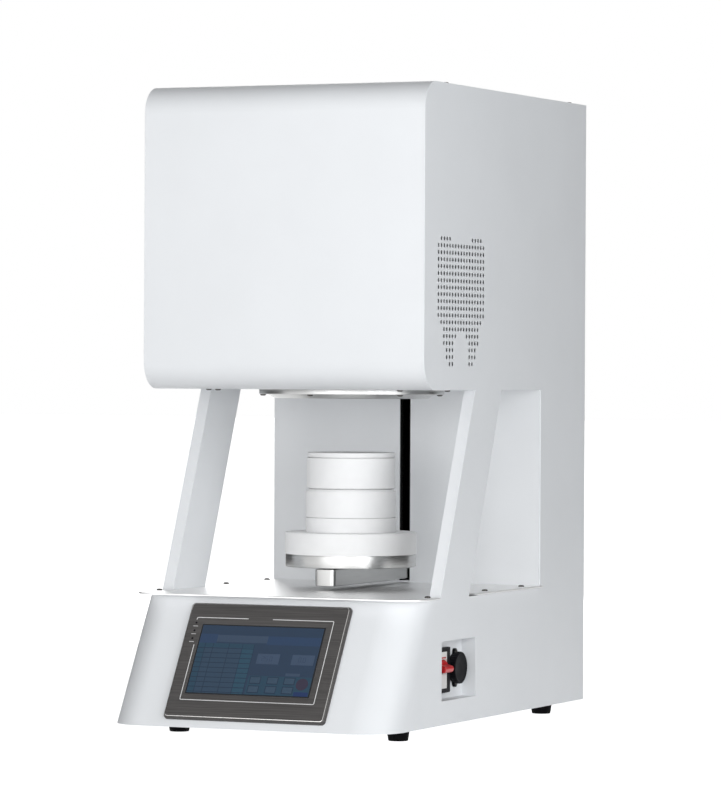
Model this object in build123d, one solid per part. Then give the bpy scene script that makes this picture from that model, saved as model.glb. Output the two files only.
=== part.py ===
from build123d import *
import os
from math import atan2, cos, degrees, hypot, radians, sin

# Bottom-loading sintering furnace for dental ceramics, in millimetres.
# Cabinet frame used below: X across the front with 0 at the middle, Y = 0 at the rear faces of the
# side panels and negative towards the user, Z = 0 at the underside of the cabinet.
# seat_in_row_frame() moves each finished piece up by the height of the feet and centres the depth.

# Cabinet, overall
cabinet_width = 360.0
cabinet_height = 744.0        # underside of the cabinet to its top
head_depth = 508.0            # rear faces to the front of the head
head_underside = 388.0
head_edge_radius = 32.0       # rounded top and bottom edges of the head front
sheet = 1.5                   # painted steel sheet
weld_land = 12.0              # width of the turned flanges that carry screws

# Base
base_height = 146.0
base_foot_depth = 610.0       # rear faces to the foot of the sloped front
slope_run = 87.3              # the front leans back by this much up to the base plate
base_corner_radius = 46.0     # bend between the sloped front and the sides

# Column and struts
column_depth = 150.0
column_rebate = 2.0           # the side panels stop this far behind the column front
column_cover_rise = 44.0      # the column's front plate goes this far up inside the head
slot_width = 14.4
slot_rise = 2.0               # lower end of the slot above the base plate
strut_width = 14.0
strut_top_setback = 152.5     # head front to the strut's front edge
strut_top_length = 81.5       # front to rear edge where it meets the head
strut_foot_setback = 65.2     # top of the slope to the strut's front edge
strut_foot_length = 85.5      # front to rear edge where it meets the base

# Base plate
plate_thickness = 3.0
plate_side_overhang = 4.3
plate_front_overhang = 14.0
plate_corner_radius = 46.0
plate_tuck = 8.0              # how far the plate reaches under the column cover
strut_notch_front = 8.0       # room left in front of each strut
strut_notch_rear = 16.5       # and behind it

# Side vents: round holes on a grid, laid out as the outline of a molar
vent_hole_radius = 2.5
vent_pitch_y = 8.4
vent_pitch_z = 8.07
vent_setback = 41.2           # head front to the foremost column of holes
vent_rise = 175.8             # head underside to the top row
vent_full_rows = 11
vent_rows = (
    [((2, 5), (13, 16))]
    + [((1, 17),)] * vent_full_rows
    + [((2, 16),), ((3, 15),), ((3, 7), (11, 15)), ((3, 6), (12, 15))]
    + [((4, 6), (12, 14))] * 2
    + [((5, 6), (12, 13))]
)
vent_hole_sides = 6

# Service recess in the right side panel, laid out from the centre of the power inlet
inlet_centre_depth = 374.8
inlet_centre_height = 62.2
breaker_ahead_of_inlet = 43.2
breaker_below_inlet = 0.7
recess_ahead_of_breaker = 34.0
recess_behind_inlet = 23.8
recess_below_inlet = 34.2
recess_above_inlet = 35.0
recess_depth = 18.0
breaker_width = 36.0
breaker_window = 45.0         # height of the breaker's front face
breaker_depth = 66.0
breaker_shoulder = 16.0        # the body behind the panel is this much taller at each end
breaker_frame_border = 4.0
breaker_frame_thickness = 3.5
breaker_face_proud = 1.2      # the breaker's face stands this far out of its frame
lever_pivot_radius = 8.0
lever_pivot_inset = 6.0       # pivot behind the breaker's face
lever_pivot_rise = 4.5        # pivot above the breaker's centre
lever_reach = 15.5            # pivot to the tip of the handle
lever_width = 24.0
lever_thickness = 8.0
lever_tip_radius = 3.2
lever_off_angle = -14.0
inlet_flange_radius = 17.0
inlet_ear_reach = 22.8
inlet_ear_width = 9.0
inlet_flange_thickness = 3.0
inlet_barrel_radius = 14.0
inlet_barrel_depth = 34.0
inlet_cap_radius = 18.8
inlet_cap_height = 6.6
inlet_cap_edge = 1.0
inlet_spigot_radius = 15.0
inlet_spigot_height = 4.0
cap_clearance = 0.3

# Touch panel on the slope
panel_width = 204.0
panel_height = 150.0
panel_proud = 5.5
panel_corner = 4.5
panel_bevel = 2.2
panel_offset_up_slope = -0.35  # centre of the panel from the middle of the slope
screen_width = 157.5
screen_height = 90.2
screen_offset_x = -2.6
screen_offset_up = 1.6
screen_depth = 1.2
screen_thickness = 0.8
panel_body_width = 190.0
panel_body_height = 136.0
panel_body_depth = 28.0
panel_body_taper = 8.0        # bevel round the rear of the case
cutout_clearance = 0.5

# Feet
foot_height = 16.0
foot_top_radius = 14.0
foot_tip_radius = 11.5
foot_recess_radius = 5.5
foot_recess_depth = 8.0
foot_x = 141.0
foot_front_setback = 122.5    # foot of the slope to the front feet
foot_rear_depth = 44.5

# Firing chamber
chamber_depth = 311.2         # chamber's axis
mouth_bore_radius = 82.0
mouth_flange_radius = 111.3
mouth_flange_thickness = 6.2
mouth_collar_top_radius = 100.5
mouth_collar_foot_radius = 92.0
mouth_collar_height = 4.7
mouth_collar_bulge_out = 2.6  # a point on the collar's curve, out and up from its foot
mouth_collar_bulge_up = 1.4
mouth_screw_circle = 106.5
mouth_screw_count = 6
mouth_screw_turn = -3.0
chamber_bore_radius = 80.0
insulation_radius = 128.0
insulation_floor_height = 40.0
hot_zone_height = 142.0
insulation_roof_height = 52.0
drum_sheet = 1.2
drum_foot_half_x = 118.0      # screws that hold the drum to the head floor
drum_foot_front_setback = 72.8     # behind the head's front
drum_foot_rear_setback = 37.2      # in front of the column
element_circle = 68.0
element_leg_half_gap = 13.0
element_wire_radius = 2.0
element_terminal_radius = 4.5
element_drop = 108.0          # hot length below the roof
element_stand = 34.0          # terminal length above the drum lid
element_count = 4
holder_length = 46.0
holder_width = 16.0
holder_height = 12.0
clamp_length = 12.0
clamp_height = 14.0
clamp_gap = 4.0
thermocouple_radius = 3.0
thermocouple_depth = 40.0
thermocouple_circle = 64.0    # on a diagonal between two elements
thermocouple_turn = 45.0
thermocouple_head_radius = 13.0
thermocouple_head_height = 22.0

# Hearth and crucibles, stacked on the lift tray
tray_radius = 78.6
tray_thickness = 15.2
tray_groove_depth = 1.2
tray_groove_height = 1.0
plug_radius = 79.1
plug_height = 26.3
pedestal_radius = 54.5
pedestal_height = 17.5
crucible_radius = 54.2
crucible_height = 34.0
crucible_wall = 8.0
crucible_floor = 8.0
crucible_edge = 1.6
crucible_foot_edge = 0.2
upper_crucible_radius = 53.3
upper_crucible_height = 37.6
lid_radius = 52.6
lid_height = 6.4
spigot_height = 2.5           # locating step between stacked pieces
spigot_clearance = 0.5
stack_edge = 0.8

# Lift arm
arm_width = 26.0
arm_height = 20.0
arm_rest_gap = 5.0            # arm to base plate when the furnace is open
arm_front_reach = 76.8        # chamber's axis to the front end of the bar
arm_rear_reach = 103.2        # and to its rear end
arm_corner_radius = 5.5
arm_spacer_height = 1.0
arm_spacer_radius = 6.0
arm_spacer_pitch = 52.0
tongue_width = 10.5
tongue_engagement = 34.0      # length of the tongue inside the arm
tongue_flange_width = 52.0
tongue_flange_thickness = 10.0
lift_seat_gap = 1.0           # arm to mouth collar when the furnace is closed

# Lift drive, in the column
screw_depth = 74.0            # depth of the lead screw's axis
screw_radius = 8.0
screw_lead = 10.0
rod_radius = 6.0
rod_half_spacing = 40.0
carriage_width = 104.0
carriage_thickness = 38.0
carriage_height = 44.0
carriage_drop = 8.0           # carriage underside below the arm's underside
nut_flange_radius = 19.0
nut_flange_height = 8.0
nut_body_radius = 13.5
bush_radius = 10.5
running_clearance = 0.05
bearing_block_height = 18.0
bearing_radius = 14.0
bearing_height = 10.0
block_gap = 4.0               # carriage to the bearing blocks at the ends of travel
block_width = 108.0
block_thickness = 40.0
channel_half_width = 60.0
channel_sheet = 2.0
channel_lip = 10.0            # the channel's sides stop this far behind the column cover
brush_reach = 22.0
brush_thickness = 5.0
brush_gap = 0.35              # brush tips to the tongue
motor_size = 57.0
motor_height = 70.0
motor_corner = 5.0
motor_boss_radius = 19.0
motor_boss_height = 1.6
motor_shaft_radius = 4.0
coupling_radius = 12.5
coupling_height = 26.0
coupling_gap = 2.0
sensor_length = 24.0
sensor_thickness = 3.0
sensor_height = 14.0

# Rear panel and fan
rear_inset = 2.5              # rear panel sits this far inside the side panels
rear_screw_margin = 30.0      # lowest and highest pair of rear screws from the cabinet's ends
rear_screw_rows = 5
fan_size = 120.0
fan_thickness = 25.0
fan_bore_radius = 57.0
fan_corner = 6.0
fan_below_top = 104.0         # fan's centre below the cabinet's top
fan_hub_radius = 20.0
fan_blade_count = 7
fan_blade_radius = 54.5
fan_blade_thickness = 1.6
fan_blade_height = 14.4       # along the fan's axis
fan_blade_pitch_angle = 38.0
fan_rotor_depth = 18.0
fan_screw_half_pitch = 52.5
guard_ring_count = 4
guard_first_radius = 16.0
guard_pitch = 11.0
guard_slot = 6.5
guard_spoke = 4.0
louvre_length = 90.0
louvre_height = 4.0
louvre_pitch = 12.0
louvre_count = 6
louvre_x = 105.0
louvre_bottom = 40.0

# Electrical parts in the base
transformer_radius = 66.0
transformer_bore_radius = 22.0
transformer_height = 62.0
transformer_edge = 10.0
transformer_inset = 100.0     # its axis in from the cabinet's left side
transformer_depth = 330.0
transformer_pad = 3.0
transformer_bolt_radius = 6.0
clamp_disc_radius = 34.0
clamp_disc_thickness = 3.0
controller_inset = 88.0       # its middle in from the cabinet's right side
controller_depth = 270.0
controller_width = 92.0
controller_length = 110.0
heatsink_base = 8.0
heatsink_height = 34.0
heatsink_fins = 9
heatsink_fin_thickness = 2.5
controller_body_height = 26.0
supply_size = (98.0, 129.0, 38.0)
supply_x = 115.0
supply_depth = 110.0
board_size = (110.0, 130.0, 1.6)
board_x = -100.0
board_depth = 150.0
relay_size = (22.0, 21.7, 14.0)
relay_pitch = 27.5
relay_count = 3
standoff_height = 14.0
standoff_radius = 3.0
standoff_inset = 6.0

# Screws
screw_head_radius = 3.6
screw_head_height = 2.0
screw_top_radius = 2.0
screw_shank_radius = 1.8
screw_grip = 6.0
edge_screw_inset = 9.0        # deck and top screws in from the cabinet's sides
plate_front_screw_inset = 7.0
plate_front_screw_setback = 44.7   # behind the top of the slope
plate_middle_screw_setback = 70.0  # behind the struts' feet
plate_rear_screw_setback = 36.5    # in front of the column
top_front_screw_setback = 81.0     # behind the head's front
top_rear_screw_depth = 36.7
floor_side_screw_inset = 14.0
floor_side_screw_depth = 350.0
floor_middle_screw_x = 20.0
floor_middle_screw_depths = (235.0, 140.0)
head_floor_screw_inset = 24.0
head_floor_screw_setback = 125.0   # behind the head's front
nut_plate_size = 12.0
rail_width = 18.0
rail_sheet = 2.0
floor_rail_width = 28.0       # wider angle on the head's floor

# Worked out from the sizes above
half_width = cabinet_width / 2
inner_half_width = half_width - sheet
base_top_depth = base_foot_depth - slope_run
strut_foot_front = base_top_depth - strut_foot_setback
strut_foot_rear = strut_foot_front - strut_foot_length
strut_top_front = head_depth - strut_top_setback
strut_top_rear = strut_top_front - strut_top_length
column_cover_top = head_underside + column_cover_rise
slope = atan2(slope_run, base_height)
panel_centre_up_slope = hypot(slope_run, base_height) / 2 + panel_offset_up_slope
foot_front_depth = base_foot_depth - foot_front_setback
drum_foot_depths = (head_depth - drum_foot_front_setback, column_depth + drum_foot_rear_setback)
up_slope = (0, sin(slope), cos(slope))
out_of_slope = (0, -cos(slope), sin(slope))
bend_setback = base_corner_radius / cos(slope)
plate_top = base_height + plate_thickness
strut_inner_x = half_width - strut_width
head_floor_top = head_underside + sheet
slot_bottom = plate_top + slot_rise
arm_bottom = plate_top + arm_rest_gap
arm_top = arm_bottom + arm_height
arm_front_depth = chamber_depth + arm_front_reach
arm_rear_depth = chamber_depth - arm_rear_reach
tray_bottom = arm_top + arm_spacer_height
tray_top = tray_bottom + tray_thickness
plug_top = tray_top + plug_height
pedestal_top = plug_top + pedestal_height
lower_crucible_top = pedestal_top + crucible_height
upper_crucible_top = lower_crucible_top + upper_crucible_height
mouth_flange_bottom = head_underside - mouth_flange_thickness
mouth_collar_bottom = mouth_flange_bottom - mouth_collar_height
lift_travel = mouth_collar_bottom - lift_seat_gap - arm_top
slot_top = arm_top + lift_travel + 2 * block_gap
hot_zone_bottom = head_floor_top + insulation_floor_height
roof_bottom = hot_zone_bottom + hot_zone_height
drum_top = roof_bottom + insulation_roof_height
carriage_bottom = arm_bottom - carriage_drop
carriage_top = carriage_bottom + carriage_height
carriage_front = screw_depth + carriage_thickness / 2
lower_block_top = carriage_bottom - block_gap
lower_block_bottom = lower_block_top - bearing_block_height
upper_block_bottom = carriage_top + lift_travel + block_gap
upper_block_top = upper_block_bottom + bearing_block_height
motor_top = lower_block_bottom - coupling_height - 2 * coupling_gap
coupling_bottom = motor_top + motor_boss_height + coupling_gap
coupling_top = lower_block_bottom - coupling_gap
coupling_middle = (coupling_bottom + coupling_top) / 2
rear_panel_face = rear_inset + sheet
fan_height = cabinet_height - fan_below_top
edge_screw_x = half_width - edge_screw_inset
plate_screws_at = (
    (half_width - plate_front_screw_inset, base_top_depth - plate_front_screw_setback),
    (edge_screw_x, strut_foot_rear - plate_middle_screw_setback),
    (edge_screw_x, column_depth + plate_rear_screw_setback),
)
top_screws_at = (
    (edge_screw_x, head_depth - top_front_screw_setback),
    (edge_screw_x, top_rear_screw_depth),
)
floor_screws_at = [
    (half_width - floor_side_screw_inset, floor_side_screw_depth),
    *[(floor_middle_screw_x, depth) for depth in floor_middle_screw_depths],
]
head_floor_screw_x = half_width - head_floor_screw_inset
head_floor_screw_y = -(head_depth - head_floor_screw_setback)
recess_back_x = half_width - recess_depth
breaker_centre_depth = inlet_centre_depth + breaker_ahead_of_inlet
breaker_centre_height = inlet_centre_height - breaker_below_inlet
recess_front = breaker_centre_depth + recess_ahead_of_breaker
recess_rear = inlet_centre_depth - recess_behind_inlet
recess_bottom = inlet_centre_height - recess_below_inlet
recess_top = inlet_centre_height + recess_above_inlet
transformer_x = transformer_inset - half_width
controller_x = half_width - controller_inset
breaker_face_x = recess_back_x + breaker_frame_thickness + breaker_face_proud
lever_pivot_x = breaker_face_x - lever_pivot_inset
lever_pivot_z = breaker_centre_height + lever_pivot_rise
thermocouple_out = thermocouple_circle * sin(radians(thermocouple_turn))
thermocouple_across = thermocouple_circle * cos(radians(thermocouple_turn))
thermocouple_y = -chamber_depth + thermocouple_out
middle = Align.CENTER
upwards = (Align.CENTER, Align.CENTER, Align.MIN)
side_view = Plane.YZ


def block(x_span, y_span, z_span):
    """Rectangular solid filling three (low, high) spans."""
    spans = (x_span, y_span, z_span)
    sizes = [high - low for low, high in spans]
    centre = [(high + low) / 2 for low, high in spans]
    return Pos(*centre) * Box(*sizes)


def post(x, y, z_low, z_high, radius):
    """Vertical cylinder between two heights."""
    return Pos(x, y, z_low) * Cylinder(radius, z_high - z_low, align=upwards)


def ring(x, y, z_low, z_high, outer_radius, bore_radius):
    """Vertical tube."""
    return post(x, y, z_low, z_high, outer_radius) - post(x, y, z_low, z_high, bore_radius)


def peg_x(y, z, x_low, x_high, radius):
    """Cylinder along X between two positions."""
    return Pos(x_low, y, z) * Rot(0, 90, 0) * Cylinder(radius, x_high - x_low, align=upwards)


def peg_y(x, z, y_low, y_high, radius):
    """Cylinder along Y between two positions."""
    return Pos(x, y_high, z) * Rot(90, 0, 0) * Cylinder(radius, y_high - y_low, align=upwards)


def turned(profile):
    """Solid of revolution about Z from (radius, height) corners."""
    outline = make_face(Plane.XZ * Polyline(*profile, close=True))
    return revolve(outline, Axis.Z)


def side_prism(points, x_low, x_high):
    """Prism along X from (depth, height) corners seen from the side."""
    outline = make_face(Polyline(*[(-depth, height) for depth, height in points], close=True))
    return extrude(side_view.offset(x_low) * outline, x_high - x_low)


def both_sides(piece):
    """The piece and its mirror image across the middle of the cabinet."""
    return [piece, mirror(piece, about=Plane.YZ)]


def group(pieces):
    """Separate solids kept together in one node."""
    return Compound([solid for piece in pieces for solid in piece.solids()])


def screw(x, y, z, grip=screw_grip):
    """Screw with a conical button head, its seat at z, pointing down."""
    profile = [
        (0, screw_head_height),
        (screw_top_radius, screw_head_height),
        (screw_head_radius, 0),
        (screw_shank_radius, 0),
        (screw_shank_radius, -grip),
        (0, -grip),
    ]
    return Pos(x, y, z) * turned(profile)


def screw_up(x, y, z, grip=screw_grip):
    """Button-head screw with its seat at z, pointing up."""
    return Pos(x, y, z) * Rot(180, 0, 0) * screw(0, 0, 0, grip)


def screw_forward(x, y, z, grip=screw_grip):
    """Button-head screw with its seat at y, head to the rear and point to the front."""
    return Pos(x, y, z) * Rot(-90, 0, 0) * screw(0, 0, 0, grip)


def hole_down(x, y, z_low, z_high):
    """Clearance hole for a screw's shank."""
    return post(x, y, z_low, z_high, screw_shank_radius + running_clearance)


# Side panels: one sheet each for head, strut, column and base

def head_outline(inset, rear):
    """Side view of the head with its two rounded front edges, moved inwards by inset."""
    front = head_depth - inset
    low = head_underside + inset
    high = cabinet_height - inset
    corners = [(-front, low), (-rear, low), (-rear, high), (-front, high)]
    outline = make_face(Polyline(*corners, close=True))
    front_corners = [v for v in outline.vertices() if abs(v.X + front) < sheet / 2]
    return fillet(front_corners, head_edge_radius - inset)


def side_outline():
    """Side view of a whole side panel, with the window between strut and column left open."""
    base_and_column = [
        (0, 0),
        (-(base_foot_depth - bend_setback), 0),
        (-(base_top_depth - bend_setback), base_height),
        (-strut_foot_front, base_height),
        (-strut_top_front, head_underside),
        (0, head_underside),
    ]
    window = [
        (-strut_foot_rear, base_height),
        (-strut_top_rear, head_underside),
        (-(column_depth - column_rebate), head_underside),
        (-(column_depth - column_rebate), base_height),
    ]
    lower = make_face(Polyline(*base_and_column, close=True))
    lower -= make_face(Polyline(*window, close=True))
    return head_outline(0, 0) + lower


def vent_centres():
    """(depth, height) of every vent hole, row by row."""
    centres = []
    for row, spans in enumerate(vent_rows):
        height = head_underside + vent_rise - row * vent_pitch_z
        for first, last in spans:
            for column in range(first, last + 1):
                centres.append((head_depth - vent_setback - (column - 1) * vent_pitch_y, height))
    return centres


def side_panel_left():
    return extrude(side_view.offset(-half_width) * side_outline(), sheet)


def side_panel_right():
    panel = extrude(side_view.offset(inner_half_width) * side_outline(), sheet)
    span_x = (inner_half_width - sheet, half_width + sheet)
    panel -= block(span_x, (-recess_front, -recess_rear), (recess_bottom, recess_top))
    hole = RegularPolygon(vent_hole_radius, vent_hole_sides)
    holes = Sketch() + [Pos(-depth, height) * hole for depth, height in vent_centres()]
    return panel - extrude(side_view.offset(span_x[0]) * holes, span_x[1] - span_x[0])


def strut_channels():
    """Three-sided channels behind the struts; each side panel closes the fourth side."""
    lean = (strut_foot_front - strut_top_front) / (head_underside - base_height)
    wall = sheet * hypot(1, lean)
    outer = [
        (strut_foot_front, base_height),
        (strut_top_front, head_underside),
        (strut_top_rear, head_underside),
        (strut_foot_rear, base_height),
    ]
    inner = [
        (strut_foot_front - wall, base_height),
        (strut_top_front - wall, head_underside),
        (strut_top_rear + wall, head_underside),
        (strut_foot_rear + wall, base_height),
    ]
    shell = side_prism(outer, strut_inner_x, inner_half_width)
    return group(both_sides(shell - side_prism(inner, strut_inner_x + sheet, inner_half_width)))


# Head

def head_shell():
    """Top, rounded front and floor of the head, bent from one sheet."""
    section = head_outline(0, 0) - head_outline(sheet, -sheet)
    shell = extrude(side_view.offset(-inner_half_width) * section, 2 * inner_half_width)
    behind_column = block((-half_width, half_width), (-column_depth, sheet), (head_underside, head_floor_top))
    shell -= behind_column
    shell -= post(0, -chamber_depth, head_underside - sheet, head_floor_top + sheet, chamber_bore_radius)
    for x, depth in top_screws_at:
        for side in (-x, x):
            shell -= hole_down(side, -depth, cabinet_height - 2 * sheet, cabinet_height)
    for x, y in drum_foot_positions() + head_floor_screw_positions():
        shell -= hole_down(x, y, head_underside, head_floor_top)
    return shell


def drum_foot_positions():
    """(x, y) of the screws that hold the chamber's drum to the head's floor."""
    return [(x, -depth) for x in (-drum_foot_half_x, drum_foot_half_x) for depth in drum_foot_depths]


def head_floor_screw_positions():
    return [(-head_floor_screw_x, head_floor_screw_y), (head_floor_screw_x, head_floor_screw_y)]


def head_floor_rail():
    """Angle on the right edge of the head's floor, welded to the side panel."""
    outer_x = inner_half_width
    low = head_floor_top
    span_y = (-(head_depth - 2 * head_edge_radius), -(column_depth + rail_width))
    rail = block((outer_x - floor_rail_width, outer_x), span_y, (low, low + rail_sheet))
    rail += block((outer_x - rail_sheet, outer_x), span_y, (low + rail_sheet, low + rail_width))
    return rail - hole_down(head_floor_screw_x, head_floor_screw_y, low, low + rail_sheet)


def head_rail():
    """Angle under the top's right edge, welded to the side panel."""
    outer_x = inner_half_width
    top = cabinet_height - sheet
    span_y = (-(head_depth - 2 * head_edge_radius), -rear_panel_face)
    rail = block((outer_x - rail_width, outer_x), span_y, (top - rail_sheet, top))
    rail += block((outer_x - rail_sheet, outer_x), span_y, (top - rail_width, top - rail_sheet))
    for x, depth in top_screws_at:
        rail -= hole_down(x, -depth, top - rail_width, top)
    return rail


# Column

def column_cover():
    """Front plate of the column with the slot for the arm and turned edges."""
    front = -column_depth
    back = front + sheet
    span_z = (plate_top, column_cover_top)
    cover = block((-inner_half_width, inner_half_width), (front, back), span_z)
    turned_y = (back, back + weld_land)
    for edge in both_sides(block((inner_half_width - sheet, inner_half_width), turned_y, span_z)):
        cover += edge
    top_z = (column_cover_top - sheet, column_cover_top)
    cover += block((-inner_half_width, inner_half_width), turned_y, top_z)
    slot_x = (-slot_width / 2, slot_width / 2)
    return cover - block(slot_x, (front - sheet, back + sheet), (slot_bottom, slot_top))


def slot_brushes():
    """Seal strips behind the slot; their bristle tips stop short of the tongue."""
    inner = tongue_width / 2 + brush_gap
    front = -column_depth + sheet
    strip = block((inner, brush_reach), (front, front + brush_thickness), (slot_bottom, slot_top))
    return group(both_sides(strip))


def rear_panel():
    """Rear cover with a punched fan guard and louvre slots."""
    span_y = (-rear_panel_face, -rear_inset)
    cut_y = (-rear_panel_face - sheet, 0)
    panel = block((-inner_half_width, inner_half_width), span_y, (sheet, cabinet_height - sheet))
    guard = Sketch()
    for step in range(guard_ring_count):
        radius = guard_first_radius + step * guard_pitch
        guard += Circle(radius + guard_slot / 2) - Circle(radius - guard_slot / 2)
    reach = 2 * (guard_first_radius + guard_ring_count * guard_pitch)
    guard -= Rot(0, 0, 45) * Rectangle(reach, guard_spoke)
    guard -= Rot(0, 0, -45) * Rectangle(reach, guard_spoke)
    outside = Plane((0, 0, fan_height), x_dir=(1, 0, 0), z_dir=(0, -1, 0))
    panel -= extrude(outside * guard, 2 * rear_panel_face)
    louvre_span = (louvre_x - louvre_length / 2, louvre_x + louvre_length / 2)
    for step in range(louvre_count):
        low = louvre_bottom + step * louvre_pitch
        slot = block(louvre_span, cut_y, (low, low + louvre_height))
        for cut in both_sides(slot):
            panel -= cut
    for x, z in rear_screw_positions():
        panel -= peg_y(x, z, *cut_y, screw_shank_radius + running_clearance)
    return panel


def rear_screw_positions():
    """(x, height) of the screws round the rear panel."""
    edge = inner_half_width - rail_width / 2
    pitch = (cabinet_height - 2 * rear_screw_margin) / (rear_screw_rows - 1)
    heights = [rear_screw_margin + row * pitch for row in range(rear_screw_rows)]
    return [(x, z) for z in heights for x in (-edge, edge)]


def rear_rail():
    """Angle along the right rear edge of the cabinet that the rear panel is screwed to."""
    outer_x = inner_half_width
    span_z = (sheet + weld_land, cabinet_height - sheet - rail_width)
    front = -rear_panel_face
    rail = block((outer_x - rail_width, outer_x), (front - rail_sheet, front), span_z)
    rail += block((outer_x - rail_sheet, outer_x), (front - rail_width, front - rail_sheet), span_z)
    for x, z in rear_screw_positions():
        rail -= peg_y(x, z, front - rail_width, front, screw_shank_radius + running_clearance)
    return rail


# Base

def slope_frame():
    """Plane square to the slope at its foot: local X across, local Y into the base."""
    return Plane(origin=(0, -base_foot_depth, 0), x_dir=(1, 0, 0), z_dir=up_slope)


def base_profile(inset, depth):
    """Section of the base front square to its slope, moved inwards by inset."""
    half = half_width - inset
    corners = [(-half, inset), (half, inset), (half, depth), (-half, depth)]
    outline = make_face(Polyline(*corners, close=True))
    bends = [v for v in outline.vertices() if abs(v.Y - inset) < sheet / 2]
    return fillet(bends, base_corner_radius - inset)


def swept_up_slope(outline, low, high):
    """Extrusion of a slope section, trimmed level between two heights."""
    run = base_foot_depth
    prism = extrude(slope_frame().offset(-run) * outline, 2 * run)
    return prism & block((-half_width, half_width), (-2 * base_foot_depth, base_foot_depth), (low, high))


def base_front_cover():
    """Sloped front of the base and both of its bent corners, with the touch panel's cut-out."""
    section = base_profile(0, base_corner_radius) - base_profile(sheet, base_corner_radius)
    cover = swept_up_slope(section, 0, base_height)
    width = panel_body_width + 2 * cutout_clearance
    height = panel_body_height + 2 * cutout_clearance
    cutout = panel_frame() * Box(width, height, 4 * sheet)
    return cover - cutout


def base_inside(low, high):
    """Space inside the base between two heights."""
    return swept_up_slope(base_profile(sheet, 2 * base_foot_depth), low, high)


def floor_pan():
    """Bottom sheet of the base with turned side edges and intake slots."""
    pan = base_inside(0, sheet)
    pan &= block((-inner_half_width, inner_half_width), (-base_foot_depth, -rear_inset), (0, sheet))
    turned_y = (-(base_top_depth - bend_setback), -rear_panel_face)
    lip = block((inner_half_width - sheet, inner_half_width), turned_y, (sheet, weld_land))
    for edge in both_sides(lip):
        pan += edge
    for step in range(louvre_count):
        y = -transformer_depth + (step - (louvre_count - 1) / 2) * louvre_pitch
        slot_x = (transformer_x - louvre_length / 2, transformer_x + louvre_length / 2)
        pan -= block(slot_x, (y, y + louvre_height), (-sheet, 2 * sheet))
    for x, y in floor_screw_positions():
        pan -= hole_down(x, y, 0, sheet)
    return pan


def floor_screw_positions():
    return [(side, -depth) for x, depth in floor_screws_at for side in (-x, x)]


def nut_plate(x, y):
    """Square weld nut on the floor pan."""
    plate = Pos(x, y, sheet) * Box(nut_plate_size, nut_plate_size, rail_sheet, align=upwards)
    return plate - hole_down(x, y, sheet, sheet + rail_sheet)


def base_plate():
    """Stainless deck: overhangs the base, notched round both struts, tucked under the column cover."""
    wide = half_width + plate_side_overhang
    front = base_top_depth + plate_front_overhang
    lip_rear = column_depth - column_rebate
    rear = column_depth - plate_tuck
    notch_front = strut_foot_front + strut_notch_front
    notch_rear = strut_foot_rear - strut_notch_rear
    right_edge = [
        (wide, -front),
        (wide, -notch_front),
        (strut_inner_x, -notch_front),
        (strut_inner_x, -notch_rear),
        (wide, -notch_rear),
        (wide, -lip_rear),
        (inner_half_width - sheet, -lip_rear),
        (inner_half_width - sheet, -rear),
    ]
    left_edge = [(-x, y) for x, y in reversed(right_edge)]
    outline = make_face(Polyline(*right_edge, *left_edge, close=True))
    corners = [v for v in outline.vertices() if v.Y < -front + sheet]
    outline = fillet(corners, plate_corner_radius)
    plate = Pos(0, 0, base_height) * extrude(outline, plate_thickness)
    for x, depth in plate_screws_at:
        for side in (-x, x):
            plate -= hole_down(side, -depth, base_height, plate_top)
    return plate


def plate_rail():
    """Angle inside the right side of the base that carries the plate's screws."""
    outer_x = inner_half_width
    span_y = (-(strut_foot_front + 2 * rail_width), -(column_depth + rail_width))
    top = base_height
    rail = block((outer_x - rail_width, outer_x), span_y, (top - rail_sheet, top))
    rail += block((outer_x - rail_sheet, outer_x), span_y, (top - rail_width, top - rail_sheet))
    for x, depth in plate_screws_at:
        rail -= hole_down(x, -depth, top - rail_width, top)
    return rail & base_inside(0, base_height)


def frame_rails():
    """Welded angles and nuts that the cabinet's screws bite into."""
    pieces = []
    for rail in (head_rail(), head_floor_rail(), rear_rail(), plate_rail()):
        pieces += both_sides(rail)
    pieces += [nut_plate(x, y) for x, y in floor_screw_positions()]
    return group(pieces)


def foot_positions():
    return [(side, -depth) for side in (-foot_x, foot_x) for depth in (foot_front_depth, foot_rear_depth)]


def rubber_foot():
    profile = [
        (0, 0),
        (foot_top_radius, 0),
        (foot_tip_radius, -foot_height),
        (foot_recess_radius, -foot_height),
        (foot_recess_radius, foot_recess_depth - foot_height),
        (0, foot_recess_depth - foot_height),
    ]
    return turned(profile)


# Touch panel

def panel_frame():
    """Plane on the outside of the slope at the panel's centre: local Y up the slope, Z outwards."""
    along = panel_centre_up_slope
    origin = (0, -base_foot_depth + along * sin(slope), along * cos(slope))
    return Plane(origin=origin, x_dir=(1, 0, 0), z_dir=out_of_slope)


def panel_bezel():
    """Front moulding of the touch panel with a bevelled rim and the screen's pocket."""
    bezel = extrude(RectangleRounded(panel_width, panel_height, panel_corner), panel_proud)
    rim = bezel.faces().sort_by(Axis.Z)[-1].edges()
    bezel = chamfer(rim, panel_bevel)
    pocket_low = panel_proud - screen_depth
    pocket = Box(screen_width, screen_height, screen_depth, align=upwards)
    bezel -= Pos(screen_offset_x, screen_offset_up, pocket_low) * pocket
    return panel_frame() * bezel


def panel_screen():
    low = panel_proud - screen_depth
    glass = Box(screen_width, screen_height, screen_thickness, align=upwards)
    return panel_frame() * Pos(screen_offset_x, screen_offset_up, low) * glass


def panel_body():
    """Electronics case behind the slope."""
    case = Box(panel_body_width, panel_body_height, panel_body_depth, align=(middle, middle, Align.MAX))
    case = chamfer(case.faces().sort_by(Axis.Z)[0].edges(), panel_body_taper)
    return panel_frame() * case


# Service recess

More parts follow.
